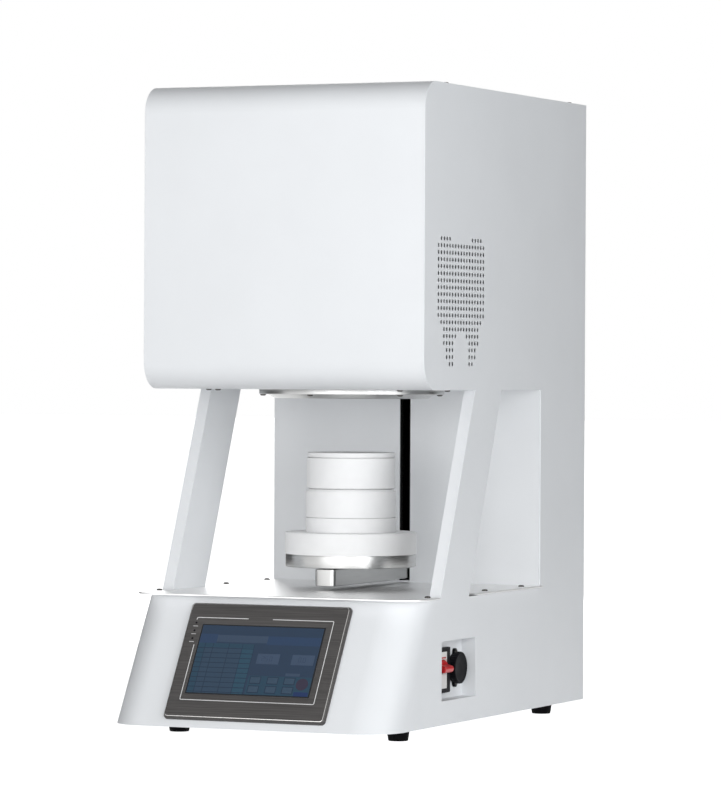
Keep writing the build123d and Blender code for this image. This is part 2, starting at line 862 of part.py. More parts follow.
def recess_tray():
    """Pressed pocket behind the opening in the right side panel."""
    span_y = (-recess_front, -recess_rear)
    span_z = (recess_bottom, recess_top)
    outer_y = (span_y[0] - sheet, span_y[1] + sheet)
    outer_z = (span_z[0] - sheet, span_z[1] + sheet)
    tray = block((recess_back_x - sheet, inner_half_width), outer_y, outer_z)
    tray -= block((recess_back_x, inner_half_width), span_y, span_z)
    back = (recess_back_x - 2 * sheet, recess_back_x + sheet)
    tray -= block(back, breaker_span_y(), breaker_span_z())
    tray -= peg_x(-inlet_centre_depth, inlet_centre_height, *back, inlet_barrel_radius)
    return tray


def breaker_span_y(border=0.0):
    half = breaker_width / 2 + border
    return (-breaker_centre_depth - half, -breaker_centre_depth + half)


def breaker_span_z(border=0.0):
    half = breaker_window / 2 + border
    return (breaker_centre_height - half, breaker_centre_height + half)


def lever_slot(clearance):
    """Round seat for the lever's drum, and the throat in front of it that the handle swings in."""
    half = lever_width / 2 + clearance
    radius = lever_pivot_radius + clearance
    span_y = (-breaker_centre_depth - half, -breaker_centre_depth + half)
    throat_x = (lever_pivot_x, breaker_face_x + clearance)
    throat = block(throat_x, span_y, (lever_pivot_z - radius, lever_pivot_z + radius))
    return peg_y(lever_pivot_x, lever_pivot_z, *span_y, radius) + throat


def breaker_body():
    """Two-pole circuit breaker; only its front face shows in the recess."""
    rear_x = breaker_face_x - breaker_depth
    body = block((rear_x, breaker_face_x), breaker_span_y(), breaker_span_z())
    body += block((rear_x, recess_back_x - 2 * sheet), breaker_span_y(), breaker_span_z(breaker_shoulder))
    return body - lever_slot(cap_clearance)


def breaker_frame():
    span_x = (recess_back_x, recess_back_x + breaker_frame_thickness)
    frame = block(span_x, breaker_span_y(breaker_frame_border), breaker_span_z(breaker_frame_border))
    return frame - block(span_x, breaker_span_y(), breaker_span_z())


def breaker_lever():
    """Handle bar of the breaker on its drum, resting in the OFF position."""
    half = lever_width / 2
    drum = peg_y(0, 0, -half, half, lever_pivot_radius)
    handle = block((0, lever_reach), (-half, half), (-lever_thickness / 2, lever_thickness / 2))
    tip = [e for e in handle.edges().filter_by(Axis.Y) if e.center().X > lever_reach / 2]
    handle = fillet(tip, lever_tip_radius)
    pose = Pos(lever_pivot_x, -breaker_centre_depth, lever_pivot_z) * Rot(0, -lever_off_angle, 0)
    return pose * (drum + handle)


def inlet_socket():
    """Panel-mounted power socket: flange with two screw ears, spigot in front and barrel behind."""
    y = -inlet_centre_depth
    z = inlet_centre_height
    front = recess_back_x + inlet_flange_thickness
    socket = peg_x(y, z, recess_back_x, front, inlet_flange_radius)
    ears = SlotCenterToCenter(2 * (inlet_ear_reach - inlet_ear_width / 2), inlet_ear_width, rotation=90)
    socket += extrude(Plane.YZ.offset(recess_back_x) * Pos(y, z) * ears, inlet_flange_thickness)
    socket += peg_x(y, z, front, front + inlet_spigot_height, inlet_spigot_radius)
    socket += peg_x(y, z, recess_back_x - inlet_barrel_depth, recess_back_x, inlet_barrel_radius)
    return socket


def inlet_cap():
    """Screw-on dust cap over the socket's spigot."""
    y = -inlet_centre_depth
    z = inlet_centre_height
    seat = recess_back_x + inlet_flange_thickness + cap_clearance
    cap = Cylinder(inlet_cap_radius, inlet_cap_height, align=upwards)
    cap = chamfer(cap.faces().sort_by(Axis.Z)[-1].edges(), inlet_cap_edge)
    cap -= Cylinder(inlet_spigot_radius + cap_clearance, inlet_spigot_height, align=upwards)
    return Pos(seat, y, z) * Rot(0, 90, 0) * cap


# Firing chamber

def mouth_flange():
    y = -chamber_depth
    flange = ring(0, y, mouth_flange_bottom, head_underside, mouth_flange_radius, mouth_bore_radius)
    for x, y_screw in mouth_screw_positions():
        flange -= hole_down(x, y_screw, mouth_flange_bottom, head_underside)
    return flange


def mouth_screw_positions():
    spots = []
    for step in range(mouth_screw_count):
        angle = radians(mouth_screw_turn + step * 360 / mouth_screw_count)
        spots.append((mouth_screw_circle * sin(angle), -chamber_depth - mouth_screw_circle * cos(angle)))
    return spots


def mouth_collar():
    """Pressed ring below the flange, curving in towards the mouth."""
    top = mouth_flange_bottom
    low = mouth_collar_bottom
    outer = ThreePointArc(
        (mouth_collar_top_radius, top),
        (mouth_collar_foot_radius + mouth_collar_bulge_out, low + mouth_collar_bulge_up),
        (mouth_collar_foot_radius, low),
    )
    rest = Polyline(
        (mouth_collar_foot_radius, low),
        (mouth_bore_radius, low),
        (mouth_bore_radius, top),
        (mouth_collar_top_radius, top),
    )
    section = make_face(Plane.XZ * (Curve() + [outer, rest]))
    return Pos(0, -chamber_depth, 0) * revolve(section, Axis.Z)


def insulation_floor():
    return ring(0, -chamber_depth, head_floor_top, hot_zone_bottom, insulation_radius, chamber_bore_radius)


def insulation_wall():
    return ring(0, -chamber_depth, hot_zone_bottom, roof_bottom, insulation_radius, chamber_bore_radius)


def element_positions():
    """(x, y, turn) of each heating element round the chamber."""
    spots = []
    for step in range(element_count):
        turn = step * 360 / element_count
        angle = radians(turn)
        spots.append((element_circle * cos(angle), -chamber_depth + element_circle * sin(angle), turn))
    return spots


def leg_positions():
    """(x, y) of every element leg."""
    legs = []
    for x, y, turn in element_positions():
        angle = radians(turn)
        for side in (-element_leg_half_gap, element_leg_half_gap):
            legs.append((x - side * sin(angle), y + side * cos(angle)))
    return legs


def insulation_roof():
    roof = post(0, -chamber_depth, roof_bottom, drum_top, insulation_radius)
    for x, y in leg_positions():
        roof -= post(x, y, roof_bottom, drum_top, element_terminal_radius + cap_clearance)
    radius = thermocouple_radius + cap_clearance
    return roof - post(thermocouple_across, thermocouple_y, roof_bottom, drum_top, radius)


def chamber_drum():
    """Steel jacket round the insulation, with four feet that reach out to screws in the head's floor."""
    y = -chamber_depth
    outer = insulation_radius + drum_sheet
    drum = ring(0, y, head_floor_top, drum_top, outer, insulation_radius)
    foot_top = head_floor_top + drum_sheet
    for x_screw, y_screw in drum_foot_positions():
        foot = drum_foot(x_screw, y_screw - y)
        drum += foot - hole_down(x_screw, y_screw, head_floor_top, foot_top)
    return drum


def drum_foot(x, y):
    """Strap on the head's floor from the drum to a screw at (x, y) from the chamber's axis."""
    reach = hypot(x, y)
    turn = degrees(atan2(y, x))
    length = reach + weld_land - insulation_radius
    strap = Box(length, 2 * weld_land, drum_sheet, align=(Align.MIN, middle, Align.MIN))
    strap = Rot(0, 0, turn) * Pos(insulation_radius, 0, 0) * strap
    inside = Cylinder(insulation_radius, drum_sheet, align=upwards)
    return Pos(0, -chamber_depth, head_floor_top) * (strap - inside)


def drum_lid():
    """Cover plate over the roof insulation, pierced for the terminals and the thermocouple."""
    y = -chamber_depth
    lid = post(0, y, drum_top, drum_top + drum_sheet, insulation_radius + drum_sheet)
    for x, y_leg in leg_positions():
        lid -= post(x, y_leg, drum_top, drum_top + drum_sheet, element_terminal_radius + cap_clearance)
    radius = thermocouple_radius + cap_clearance
    return lid - post(thermocouple_across, thermocouple_y, drum_top, drum_top + drum_sheet, radius)


def heating_element():
    """U-shaped hairpin: thin hot legs joined by a bend, thick terminals through the roof."""
    bend_height = roof_bottom - element_drop
    half = element_leg_half_gap
    legs = Part()
    for y in (-half, half):
        legs += post(0, y, bend_height, roof_bottom, element_wire_radius)
        legs += post(0, y, roof_bottom, drum_top + element_stand, element_terminal_radius)
    section = Plane.XY * Pos(0, half) * Circle(element_wire_radius)
    bend = revolve(section, Axis.X, 180)
    if bend.bounding_box().max.Z > half / 2:
        bend = revolve(section, Axis.X, -180)
    return legs + Pos(0, 0, bend_height) * bend


def heating_elements():
    base = heating_element()
    return group([Pos(x, y, 0) * Rot(0, 0, turn) * base for x, y, turn in element_positions()])


def element_holders():
    """Ceramic blocks that grip each pair of terminals above the drum lid."""
    low = drum_top + drum_sheet
    holder = Box(holder_width, holder_length, holder_height, align=upwards)
    for y in (-element_leg_half_gap, element_leg_half_gap):
        holder -= Pos(0, y, 0) * Cylinder(element_terminal_radius, holder_height, align=upwards)
    return group([Pos(x, y, low) * Rot(0, 0, turn) * holder for x, y, turn in element_positions()])


def terminal_clamps():
    """Aluminium clamp on each terminal."""
    low = drum_top + drum_sheet + holder_height
    high = low + clamp_height
    clamp = Box(clamp_length, clamp_length, clamp_height, align=upwards)
    clamp -= Cylinder(element_terminal_radius, clamp_height, align=upwards)
    clamps = [Pos(x, y, low) * clamp for x, y in leg_positions()]
    return group(clamps)


def thermocouple():
    """Ceramic sheath that hangs into the hot zone from its head on the drum lid."""
    seat = drum_top + drum_sheet
    tip = roof_bottom - thermocouple_depth
    sheath = post(thermocouple_across, thermocouple_y, tip, seat, thermocouple_radius)
    head_top = seat + thermocouple_head_height
    return sheath + post(thermocouple_across, thermocouple_y, seat, head_top, thermocouple_head_radius)


# Hearth and crucibles

def lift_tray():
    """Stainless hearth tray with a shadow groove under the plug."""
    profile = [
        (0, tray_bottom),
        (tray_radius, tray_bottom),
        (tray_radius, tray_top - tray_groove_height),
        (tray_radius - tray_groove_depth, tray_top - tray_groove_height),
        (tray_radius - tray_groove_depth, tray_top),
        (0, tray_top),
    ]
    tray = Pos(0, -chamber_depth, 0) * turned(profile)
    for y in spacer_positions():
        tray -= hole_down(0, y, tray_bottom, tray_bottom + screw_grip)
    return tray


def hearth_plug():
    profile = [
        (0, tray_top),
        (plug_radius, tray_top),
        (plug_radius, plug_top - stack_edge),
        (plug_radius - stack_edge, plug_top),
        (0, plug_top),
    ]
    return Pos(0, -chamber_depth, 0) * turned(profile)


def pedestal():
    spigot = crucible_radius - crucible_wall - spigot_clearance
    profile = [
        (0, plug_top),
        (pedestal_radius, plug_top),
        (pedestal_radius, pedestal_top),
        (spigot, pedestal_top),
        (spigot, pedestal_top + spigot_height),
        (0, pedestal_top + spigot_height),
    ]
    return Pos(0, -chamber_depth, 0) * turned(profile)


def lower_crucible():
    """Lower cup; a recess under its floor drops over the pedestal's spigot."""
    bottom = pedestal_top
    top = lower_crucible_top
    inner = crucible_radius - crucible_wall
    recess_top_height = bottom + spigot_height + spigot_clearance
    floor = recess_top_height + crucible_floor
    profile = [
        (0, recess_top_height),
        (inner, recess_top_height),
        (inner, bottom),
        (crucible_radius - crucible_foot_edge, bottom),
        (crucible_radius, bottom + crucible_foot_edge),
        (crucible_radius, top - crucible_edge),
        (crucible_radius - crucible_edge, top),
        (inner, top),
        (inner, floor),
        (0, floor),
    ]
    return Pos(0, -chamber_depth, 0) * turned(profile)


def upper_crucible():
    """Upper cup; a ring under its foot drops into the mouth of the lower cup."""
    bottom = lower_crucible_top
    ring_outer = crucible_radius - crucible_wall - spigot_clearance
    inner = upper_crucible_radius - crucible_wall
    floor = bottom + crucible_floor
    profile = [
        (0, bottom - spigot_height),
        (ring_outer, bottom - spigot_height),
        (ring_outer, bottom),
        (upper_crucible_radius - crucible_edge, bottom),
        (upper_crucible_radius, bottom + crucible_edge),
        (upper_crucible_radius, upper_crucible_top),
        (inner, upper_crucible_top),
        (inner, floor),
        (0, floor),
    ]
    return Pos(0, -chamber_depth, 0) * turned(profile)


def crucible_lid():
    """Flat lid with a locating step that drops into the upper crucible."""
    step = upper_crucible_radius - crucible_wall - spigot_clearance
    top = upper_crucible_top + lid_height
    profile = [
        (0, upper_crucible_top - spigot_height),
        (step, upper_crucible_top - spigot_height),
        (step, upper_crucible_top),
        (lid_radius, upper_crucible_top),
        (lid_radius, top - stack_edge),
        (lid_radius - stack_edge, top),
        (0, top),
    ]
    return Pos(0, -chamber_depth, 0) * turned(profile)


# Lift arm

def spacer_positions():
    """Y of the two spacers between arm and tray."""
    return [-chamber_depth - arm_spacer_pitch, -chamber_depth + arm_spacer_pitch]


def lift_arm():
    """Bar under the tray, rounded at its front end and slotted at the rear for the tongue."""
    bar = block((-arm_width / 2, arm_width / 2), (-arm_front_depth, -arm_rear_depth), (arm_bottom, arm_top))
    middle_y = -(arm_front_depth + arm_rear_depth) / 2
    front = [e for e in bar.edges().filter_by(Axis.Z) if e.center().Y < middle_y]
    bar = fillet(front, arm_corner_radius)
    pocket_y = (-arm_rear_depth - tongue_engagement, -arm_rear_depth)
    bar -= block((-tongue_width / 2, tongue_width / 2), pocket_y, (arm_bottom, arm_top))
    for y in spacer_positions():
        bar -= hole_down(0, y, arm_bottom, arm_top)
        bar -= post(0, y, arm_bottom, arm_bottom + screw_head_height, screw_head_radius + cap_clearance)
    return bar


def lift_tongue():
    """Blade that carries the arm through the slot, with its mounting flange behind."""
    half = tongue_width / 2
    blade_y = (-arm_rear_depth - tongue_engagement, -carriage_front)
    blade = block((-half, half), blade_y, (arm_bottom, arm_top))
    flange_half = tongue_flange_width / 2
    flange_y = (-carriage_front - tongue_flange_thickness, -carriage_front)
    return blade + block((-flange_half, flange_half), flange_y, (carriage_bottom, carriage_top))


def arm_fasteners():
    """Spacers between arm and tray, and the screws through them with heads sunk in the arm."""
    bore = screw_shank_radius + running_clearance
    seat = arm_bottom + screw_head_height
    grip = tray_bottom + screw_grip - seat
    pieces = [ring(0, y, arm_top, tray_bottom, arm_spacer_radius, bore) for y in spacer_positions()]
    pieces += [screw_up(0, y, seat, grip) for y in spacer_positions()]
    return group(pieces)


# Lift drive

def lift_channel():
    """Black channel in the column that the blocks, motor and sensors are fixed to."""
    low = motor_top - motor_height
    high = upper_block_top + block_gap
    rear = -rear_panel_face
    front = -(column_depth - sheet - channel_lip)
    half = channel_half_width
    web = block((-half, half), (rear - channel_sheet, rear), (low, high))
    side = block((half - channel_sheet, half), (front, rear - channel_sheet), (low, high))
    for flange in both_sides(side):
        web += flange
    return web


def block_span_y():
    return (-(screw_depth + block_thickness / 2), -(rear_panel_face + channel_sheet))


def bearing_block(low, bore_from_top):
    """Cross block that carries a screw bearing and the guide rods' ends."""
    high = low + bearing_block_height
    half = block_width / 2
    body = block((-half, half), block_span_y(), (low, high))
    y = -screw_depth
    seat = (high - bearing_height, high) if bore_from_top else (low, low + bearing_height)
    body -= post(0, y, *seat, bearing_radius)
    body -= post(0, y, low, high, screw_radius + cap_clearance)
    for x in (-rod_half_spacing, rod_half_spacing):
        body -= post(x, y, low, high, rod_radius)
    return body


def bearing_blocks():
    """Both bearing blocks and the ledge that the motor is bolted under."""
    lower = bearing_block(lower_block_bottom, True)
    upper = bearing_block(upper_block_bottom, False)
    return group([lower, upper, motor_ledge()])


def screw_bearings():
    y = -screw_depth
    bore = screw_radius + running_clearance
    lower = ring(0, y, lower_block_top - bearing_height, lower_block_top, bearing_radius, bore)
    upper = ring(0, y, upper_block_bottom, upper_block_bottom + bearing_height, bearing_radius, bore)
    return group([lower, upper])


def guide_rods():
    y = -screw_depth
    return group([post(x, y, lower_block_bottom, upper_block_top, rod_radius)
                  for x in (-rod_half_spacing, rod_half_spacing)])


def lead_screw():
    """Screw from the middle of its coupling to the upper bearing block."""
    return post(0, -screw_depth, coupling_middle, upper_block_top, screw_radius)


def drive_coupling():
    """Motor shaft and the clamp coupling that joins it to the lead screw."""
    y = -screw_depth
    coupling = post(0, y, coupling_bottom, coupling_top, coupling_radius)
    coupling -= post(0, y, coupling_middle, coupling_top, screw_radius)
    coupling -= post(0, y, coupling_bottom, coupling_middle, motor_shaft_radius)
    shaft_foot = motor_top + motor_boss_height + running_clearance
    shaft = post(0, y, shaft_foot, coupling_middle, motor_shaft_radius)
    return group([coupling, shaft])


def lift_motor():
    """Stepper motor hanging below the lower block."""
    y = -screw_depth
    body = Pos(0, y, motor_top - motor_height) * Box(motor_size, motor_size, motor_height, align=upwards)
    body = chamfer(body.edges().filter_by(Axis.Z), motor_corner)
    return body + post(0, y, motor_top, motor_top + motor_boss_height, motor_boss_radius)


def motor_ledge():
    """Ledge on the channel's web that the motor is bolted under."""
    low = motor_top
    high = low + motor_boss_height + coupling_gap / 2
    half = motor_size / 2
    ledge = block((-half, half), (-(screw_depth + half), -(rear_panel_face + channel_sheet)), (low, high))
    return ledge - post(0, -screw_depth, low, high, motor_boss_radius + running_clearance)


def lift_carriage():
    """Block that rides on the guide rods and carries the tongue and the nut."""
    half = carriage_width / 2
    span_y = (-carriage_front, -(screw_depth - carriage_thickness / 2))
    body = block((-half, half), span_y, (carriage_bottom, carriage_top))
    y = -screw_depth
    body -= post(0, y, carriage_bottom, carriage_top, nut_body_radius)
    body -= post(0, y, carriage_top - nut_flange_height, carriage_top, nut_flange_radius)
    for x in (-rod_half_spacing, rod_half_spacing):
        body -= post(x, y, carriage_bottom, carriage_top, bush_radius)
    return body


def lift_nut():
    """Flanged nut let into the top of the carriage."""
    y = -screw_depth
    nut = post(0, y, carriage_bottom, carriage_top, nut_body_radius)
    nut += post(0, y, carriage_top - nut_flange_height, carriage_top, nut_flange_radius)
    return nut - post(0, y, carriage_bottom, carriage_top, screw_radius + running_clearance)


def linear_bushes():
    y = -screw_depth
    bore = rod_radius + running_clearance
    return group([ring(x, y, carriage_bottom, carriage_top, bush_radius, bore)
                  for x in (-rod_half_spacing, rod_half_spacing)])


def lift_sensors():
    """Slotted light barriers on the channel's side, one at each end of the travel."""
    outer = channel_half_width - channel_sheet
    span_x = (outer - sensor_thickness, outer)
    y_low = -(column_depth - sheet - channel_lip)
    span_y = (y_low, y_low + sensor_length)
    heights = (carriage_bottom, carriage_top + lift_travel - sensor_height)
    return group([block(span_x, span_y, (z, z + sensor_height)) for z in heights])


# Fan

def fan_frame_plane():
    """Plane on the inside of the rear panel at the fan's centre, facing forwards."""
    return Plane(origin=(0, -rear_panel_face, fan_height), x_dir=(1, 0, 0), z_dir=(0, -1, 0))


def fan_housing():
    """Square frame with a round duct and the motor's web at the rear."""
    frame = extrude(RectangleRounded(fan_size, fan_size, fan_corner), fan_thickness)
    frame -= Cylinder(fan_bore_radius, fan_thickness, align=upwards)
    web = Cylinder(fan_hub_radius, sheet, align=upwards)
    for turn in (45, 135):
        web += Rot(0, 0, turn) * Box(2 * fan_bore_radius + sheet, guard_spoke, sheet, align=upwards)
    return fan_frame_plane() * (frame + web)


def fan_rotor():
    """Hub with pitched blades."""
    low = sheet + cap_clearance
    rotor = Pos(0, 0, low) * Cylinder(fan_hub_radius, fan_rotor_depth, align=upwards)
    span = fan_blade_radius - fan_hub_radius + sheet
    blade = Box(span, fan_blade_thickness, fan_blade_height / cos(radians(fan_blade_pitch_angle)))
    blade = Rot(fan_blade_pitch_angle, 0, 0) * blade
    blade = Pos(fan_hub_radius - sheet + span / 2, 0, low + fan_rotor_depth / 2) * blade
    for step in range(fan_blade_count):
        rotor += Rot(0, 0, step * 360 / fan_blade_count) * blade
    return fan_frame_plane() * rotor


# Electrical parts

def transformer():
    """Toroidal transformer: pad, wound core, and the clamping disc with its bolt."""
    x = transformer_x
    y = -transformer_depth
    low = sheet + transformer_pad
    high = low + transformer_height
    pad = ring(x, y, sheet, low, transformer_radius, transformer_bolt_radius)
    core = ring(x, y, low, high, transformer_radius, transformer_bore_radius)
    rims = [e for e in core.edges().filter_by(GeomType.CIRCLE) if e.radius > transformer_bore_radius + sheet]
    core = chamfer(rims, transformer_edge)
    clamp = post(x, y, high, high + clamp_disc_thickness, clamp_disc_radius)
    clamp += post(x, y, sheet, high + 2 * clamp_disc_thickness, transformer_bolt_radius)
    return group([pad, core, clamp])


def heat_sink():
    """Finned heat sink, fins down, that carries the power controller."""
    x_low = controller_x - controller_width / 2
    x_high = controller_x + controller_width / 2
    y_span = (-controller_depth - controller_length / 2, -controller_depth + controller_length / 2)
    body = block((x_low, x_high), y_span, (sheet + heatsink_height, sheet + heatsink_height + heatsink_base))
    pitch = (controller_width - heatsink_fin_thickness) / (heatsink_fins - 1)
    for step in range(heatsink_fins):
        x = x_low + step * pitch
        body += block((x, x + heatsink_fin_thickness), y_span, (sheet, sheet + heatsink_height))
    return body


def power_controller():
    """Heat sink with the semiconductor module on top."""
    low = sheet + heatsink_height + heatsink_base
    half_x = controller_width / 2 - standoff_inset
    half_y = controller_length / 2 - standoff_inset
    span_x = (controller_x - half_x, controller_x + half_x)
    span_y = (-controller_depth - half_y, -controller_depth + half_y)
    return group([heat_sink(), block(span_x, span_y, (low, low + controller_body_height))])


def power_supply():
    width, length, height = supply_size
    return Pos(supply_x, -supply_depth, sheet) * Box(width, length, height, align=upwards)


def board_corners():
    width, length, _ = board_size
    half_x = width / 2 - standoff_inset
    half_y = length / 2 - standoff_inset
    return [(board_x + sx * half_x, -board_depth + sy * half_y) for sx in (-1, 1) for sy in (-1, 1)]


def control_board():
    """Relay board on four standoffs."""
    width, length, thickness = board_size
    low = sheet + standoff_height
    board = Pos(board_x, -board_depth, low) * Box(width, length, thickness, align=upwards)
    relay = Box(*relay_size, align=upwards)
    for step in range(relay_count):
        x = board_x + (step - (relay_count - 1) / 2) * relay_pitch
        board += Pos(x, -board_depth, low + thickness) * relay
    return group([board] + [post(x, y, sheet, low, standoff_radius) for x, y in board_corners()])


# Screws

def deck_screws():
    return group([screw(side, -depth, plate_top) for x, depth in plate_screws_at for side in (-x, x)])


def cabinet_screws():
    """Screws of the top, the underside, the mouth flange, the head's floor and the rear panel."""
    pieces = [screw(side, -depth, cabinet_height) for x, depth in top_screws_at for side in (-x, x)]
    pieces += [screw_up(x, y, 0) for x, y in floor_screw_positions()]
    pieces += [screw_up(x, y, mouth_flange_bottom) for x, y in mouth_screw_positions()]
    head_floor_positions = drum_foot_positions() + head_floor_screw_positions()
    pieces += [screw_up(x, y, head_underside) for x, y in head_floor_positions]
    pieces += [screw_forward(x, -rear_inset, z) for x, z in rear_screw_positions()]
    return group(pieces)


def rubber_feet():
    return group([Pos(x, y, 0) * rubber_foot() for x, y in foot_positions()])


def seat_in_row_frame(piece):
    """Stand the cabinet on its feet with the origin below the middle of its depth."""
    return Pos(0, base_foot_depth / 2, foot_height) * piece


sub_parts = [
    side_panel_left,
    side_panel_right,
    strut_channels,
    head_shell,
    column_cover,
    slot_brushes,
    rear_panel,
    frame_rails,
    base_front_cover,
    floor_pan,
    base_plate,
    rubber_feet,
    deck_screws,
    cabinet_screws,
    panel_bezel,
    panel_screen,
    panel_body,
    recess_tray,
    breaker_body,
    breaker_frame,
    breaker_lever,
    inlet_socket,
    inlet_cap,
    mouth_flange,
    mouth_collar,
    insulation_floor,
    insulation_wall,
    insulation_roof,
    chamber_drum,
    drum_lid,
    heating_elements,
    element_holders,
    terminal_clamps,
    thermocouple,
    lift_tray,
    hearth_plug,
    pedestal,
    lower_crucible,
    upper_crucible,
    crucible_lid,
    lift_arm,
    lift_tongue,
    arm_fasteners,
    lift_channel,
    bearing_blocks,
    screw_bearings,
    guide_rods,
    lead_screw,
    drive_coupling,
    lift_motor,
    lift_carriage,
    lift_nut,
    linear_bushes,
    lift_sensors,
    fan_housing,
    fan_rotor,
    transformer,
    power_controller,
    power_supply,
    control_board,
]

os.makedirs("parts", exist_ok=True)
for make in sub_parts:
    export_step(seat_in_row_frame(make()), f"parts/{make.__name__}.step")
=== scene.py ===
"""Looks of a bench-top sintering furnace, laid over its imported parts.

Everything is in metres in the frame of the parts: +Z up, the touch panel towards -Y, +X to the right.
"""

from math import cos, pi, radians, sin

import bmesh
import bpy
import numpy as np
from mathutils import Matrix, Vector
from mathutils.geometry import delaunay_2d_cdt


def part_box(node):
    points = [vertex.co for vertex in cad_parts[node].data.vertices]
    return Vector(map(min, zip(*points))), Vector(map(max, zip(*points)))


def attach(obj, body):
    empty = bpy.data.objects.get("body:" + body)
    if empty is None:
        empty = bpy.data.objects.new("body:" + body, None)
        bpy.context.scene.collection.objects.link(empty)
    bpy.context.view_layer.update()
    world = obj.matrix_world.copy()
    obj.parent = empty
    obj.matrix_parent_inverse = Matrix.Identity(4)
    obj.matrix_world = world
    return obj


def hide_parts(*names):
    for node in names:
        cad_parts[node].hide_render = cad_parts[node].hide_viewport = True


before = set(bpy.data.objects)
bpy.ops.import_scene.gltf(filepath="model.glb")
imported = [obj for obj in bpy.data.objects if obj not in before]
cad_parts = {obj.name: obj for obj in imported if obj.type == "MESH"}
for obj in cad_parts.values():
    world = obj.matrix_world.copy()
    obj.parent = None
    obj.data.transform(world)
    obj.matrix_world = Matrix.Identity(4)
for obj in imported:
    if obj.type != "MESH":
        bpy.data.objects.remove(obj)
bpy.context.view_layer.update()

MM = 0.001
MERGE = 0.0005 * MM             # points nearer than this are one
NODE_MERGE = 0.001 * MM         # the same, in a part's own mesh
EDGE_SHARE = 0.49               # most of an edge that one corner's arc may take
STRAIGHT = 0.01                 # half a corner's turn in radians, under which it stays as it is
HOLE_EASE_SHARE = 0.4           # a hole's edge is eased by this share of the outer edge's
UNDERCUT_START = 0.6            # share of a sheet's thickness at which a hole's undercut starts to close
FILL_TOLERANCE = 1e-7
SHEET_SMOOTH = 40               # degrees under which an edge is shaded round: on sheet and moulded work,
TURNED_SMOOTH = 35              # on turned work, the arm and screws,
BEZEL_SMOOTH = 30               # and on the panel's bezel


# ---------------------------------------------------------------- where things are, read from the parts

def low_of(node):
    return np.array(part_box(node)[0])


def high_of(node):
    return np.array(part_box(node)[1])


def middle_of(node):
    return (low_of(node) + high_of(node)) / 2


HALF_WIDTH = high_of("side_panel_right")[0]
REAR = high_of("side_panel_right")[1]
UNDERSIDE = low_of("side_panel_right")[2]
TOP = high_of("side_panel_right")[2]
SHEET = HALF_WIDTH - low_of("side_panel_right")[0]
HEAD_FRONT = low_of("head_shell")[1]
HEAD_LOW = low_of("head_shell")[2]
BASE_FRONT = low_of("side_panel_right")[1]
DECK_LOW = low_of("base_plate")[2]
DECK_TOP = high_of("base_plate")[2]
CHAMBER_Y = middle_of("lift_tray")[1]


# ---------------------------------------------------------------- mesh tools

def mesh_piece(name, points, faces, body, material, stands_for=(), slot=None, smooth=60.0):
    """Object from points and faces, riding on a body; edges flatter than smooth degrees are shaded round.

    stands_for names the parts that it replaces; slot is not used.
    """
    mesh = bpy.data.meshes.new(name)
    mesh.from_pydata(np.asarray(points, float).tolist(), [], [list(map(int, face)) for face in faces])
    work = bmesh.new()
    work.from_mesh(mesh)
    bmesh.ops.remove_doubles(work, verts=work.verts, dist=MERGE)
    bmesh.ops.dissolve_degenerate(work, edges=work.edges, dist=MERGE)
    bmesh.ops.recalc_face_normals(work, faces=work.faces)
    for edge in work.edges:
        edge.smooth = len(edge.link_faces) == 2 and edge.calc_face_angle(pi) < radians(smooth)
    for face in work.faces:
        face.smooth = True
    work.to_mesh(mesh)
    work.free()
    piece = bpy.data.objects.new(name, mesh)
    bpy.context.scene.collection.objects.link(piece)
    mesh.materials.append(material)
    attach(piece, body)
    if stands_for:
        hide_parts(*stands_for)
    return piece


def grid_faces(rows, columns, wrap_rows=False, wrap_columns=False):
    """Quads between neighbours of a rows x columns grid of points, with either direction closed on itself."""
    last_row = rows if wrap_rows else rows - 1
    last_column = columns if wrap_columns else columns - 1
    i, j = np.meshgrid(np.arange(last_row), np.arange(last_column), indexing="ij")
    next_i, next_j = (i + 1) % rows, (j + 1) % columns
    corners = (i * columns + j, next_i * columns + j, next_i * columns + next_j, i * columns + next_j)
    return np.stack(corners, -1).reshape(-1, 4)


def join(*shapes):
    """One (points, faces) shape out of several, with the face numbers moved on."""
    points, faces, start = [], [], 0
    for shape_points, shape_faces in shapes:
        points.append(np.asarray(shape_points).reshape(-1, 3))
        faces += [[start + int(k) for k in face] for face in shape_faces]
        start += len(points[-1])
    return np.concatenate(points), faces


def eased(corners, radius, steps=6):
    """Polyline with each inner corner replaced by an arc of the given radius, tangent to both its edges.

    A corner's arc starts radius * tan(turn / 2) before it; its points turn evenly about the arc's centre.
    Where an edge is too short for that, the arc shrinks to what EDGE_SHARE of the edge allows.
    """
    corners = np.asarray(corners, float)
    radii = np.broadcast_to(radius, len(corners))
    out = [corners[:1]]
    for before, corner, after, r in zip(corners, corners[1:], corners[2:], radii[1:]):
        length_a, length_b = np.linalg.norm(before - corner), np.linalg.norm(after - corner)
        a, b = (before - corner) / length_a, (after - corner) / length_b
        half = np.arccos(np.clip(a @ b, -1, 1)) / 2
        if r <= 0 or half > pi / 2 - STRAIGHT:
            out.append(corner[None])
            continue
        setback = min(r / np.tan(half), EDGE_SHARE * min(length_a, length_b))
        r = setback * np.tan(half)
        centre = corner + (a + b) / np.linalg.norm(a + b) * r / sin(half)
        start, end = corner + a * setback - centre, corner + b * setback - centre
        t = np.linspace(0, 1, steps)[:, None]
        turn = pi - 2 * half
        arc = (np.sin((1 - t) * turn) * start + np.sin(t * turn) * end) / sin(turn)
        out.append(centre + arc)
    out.append(corners[-1:])
    return np.concatenate(out)


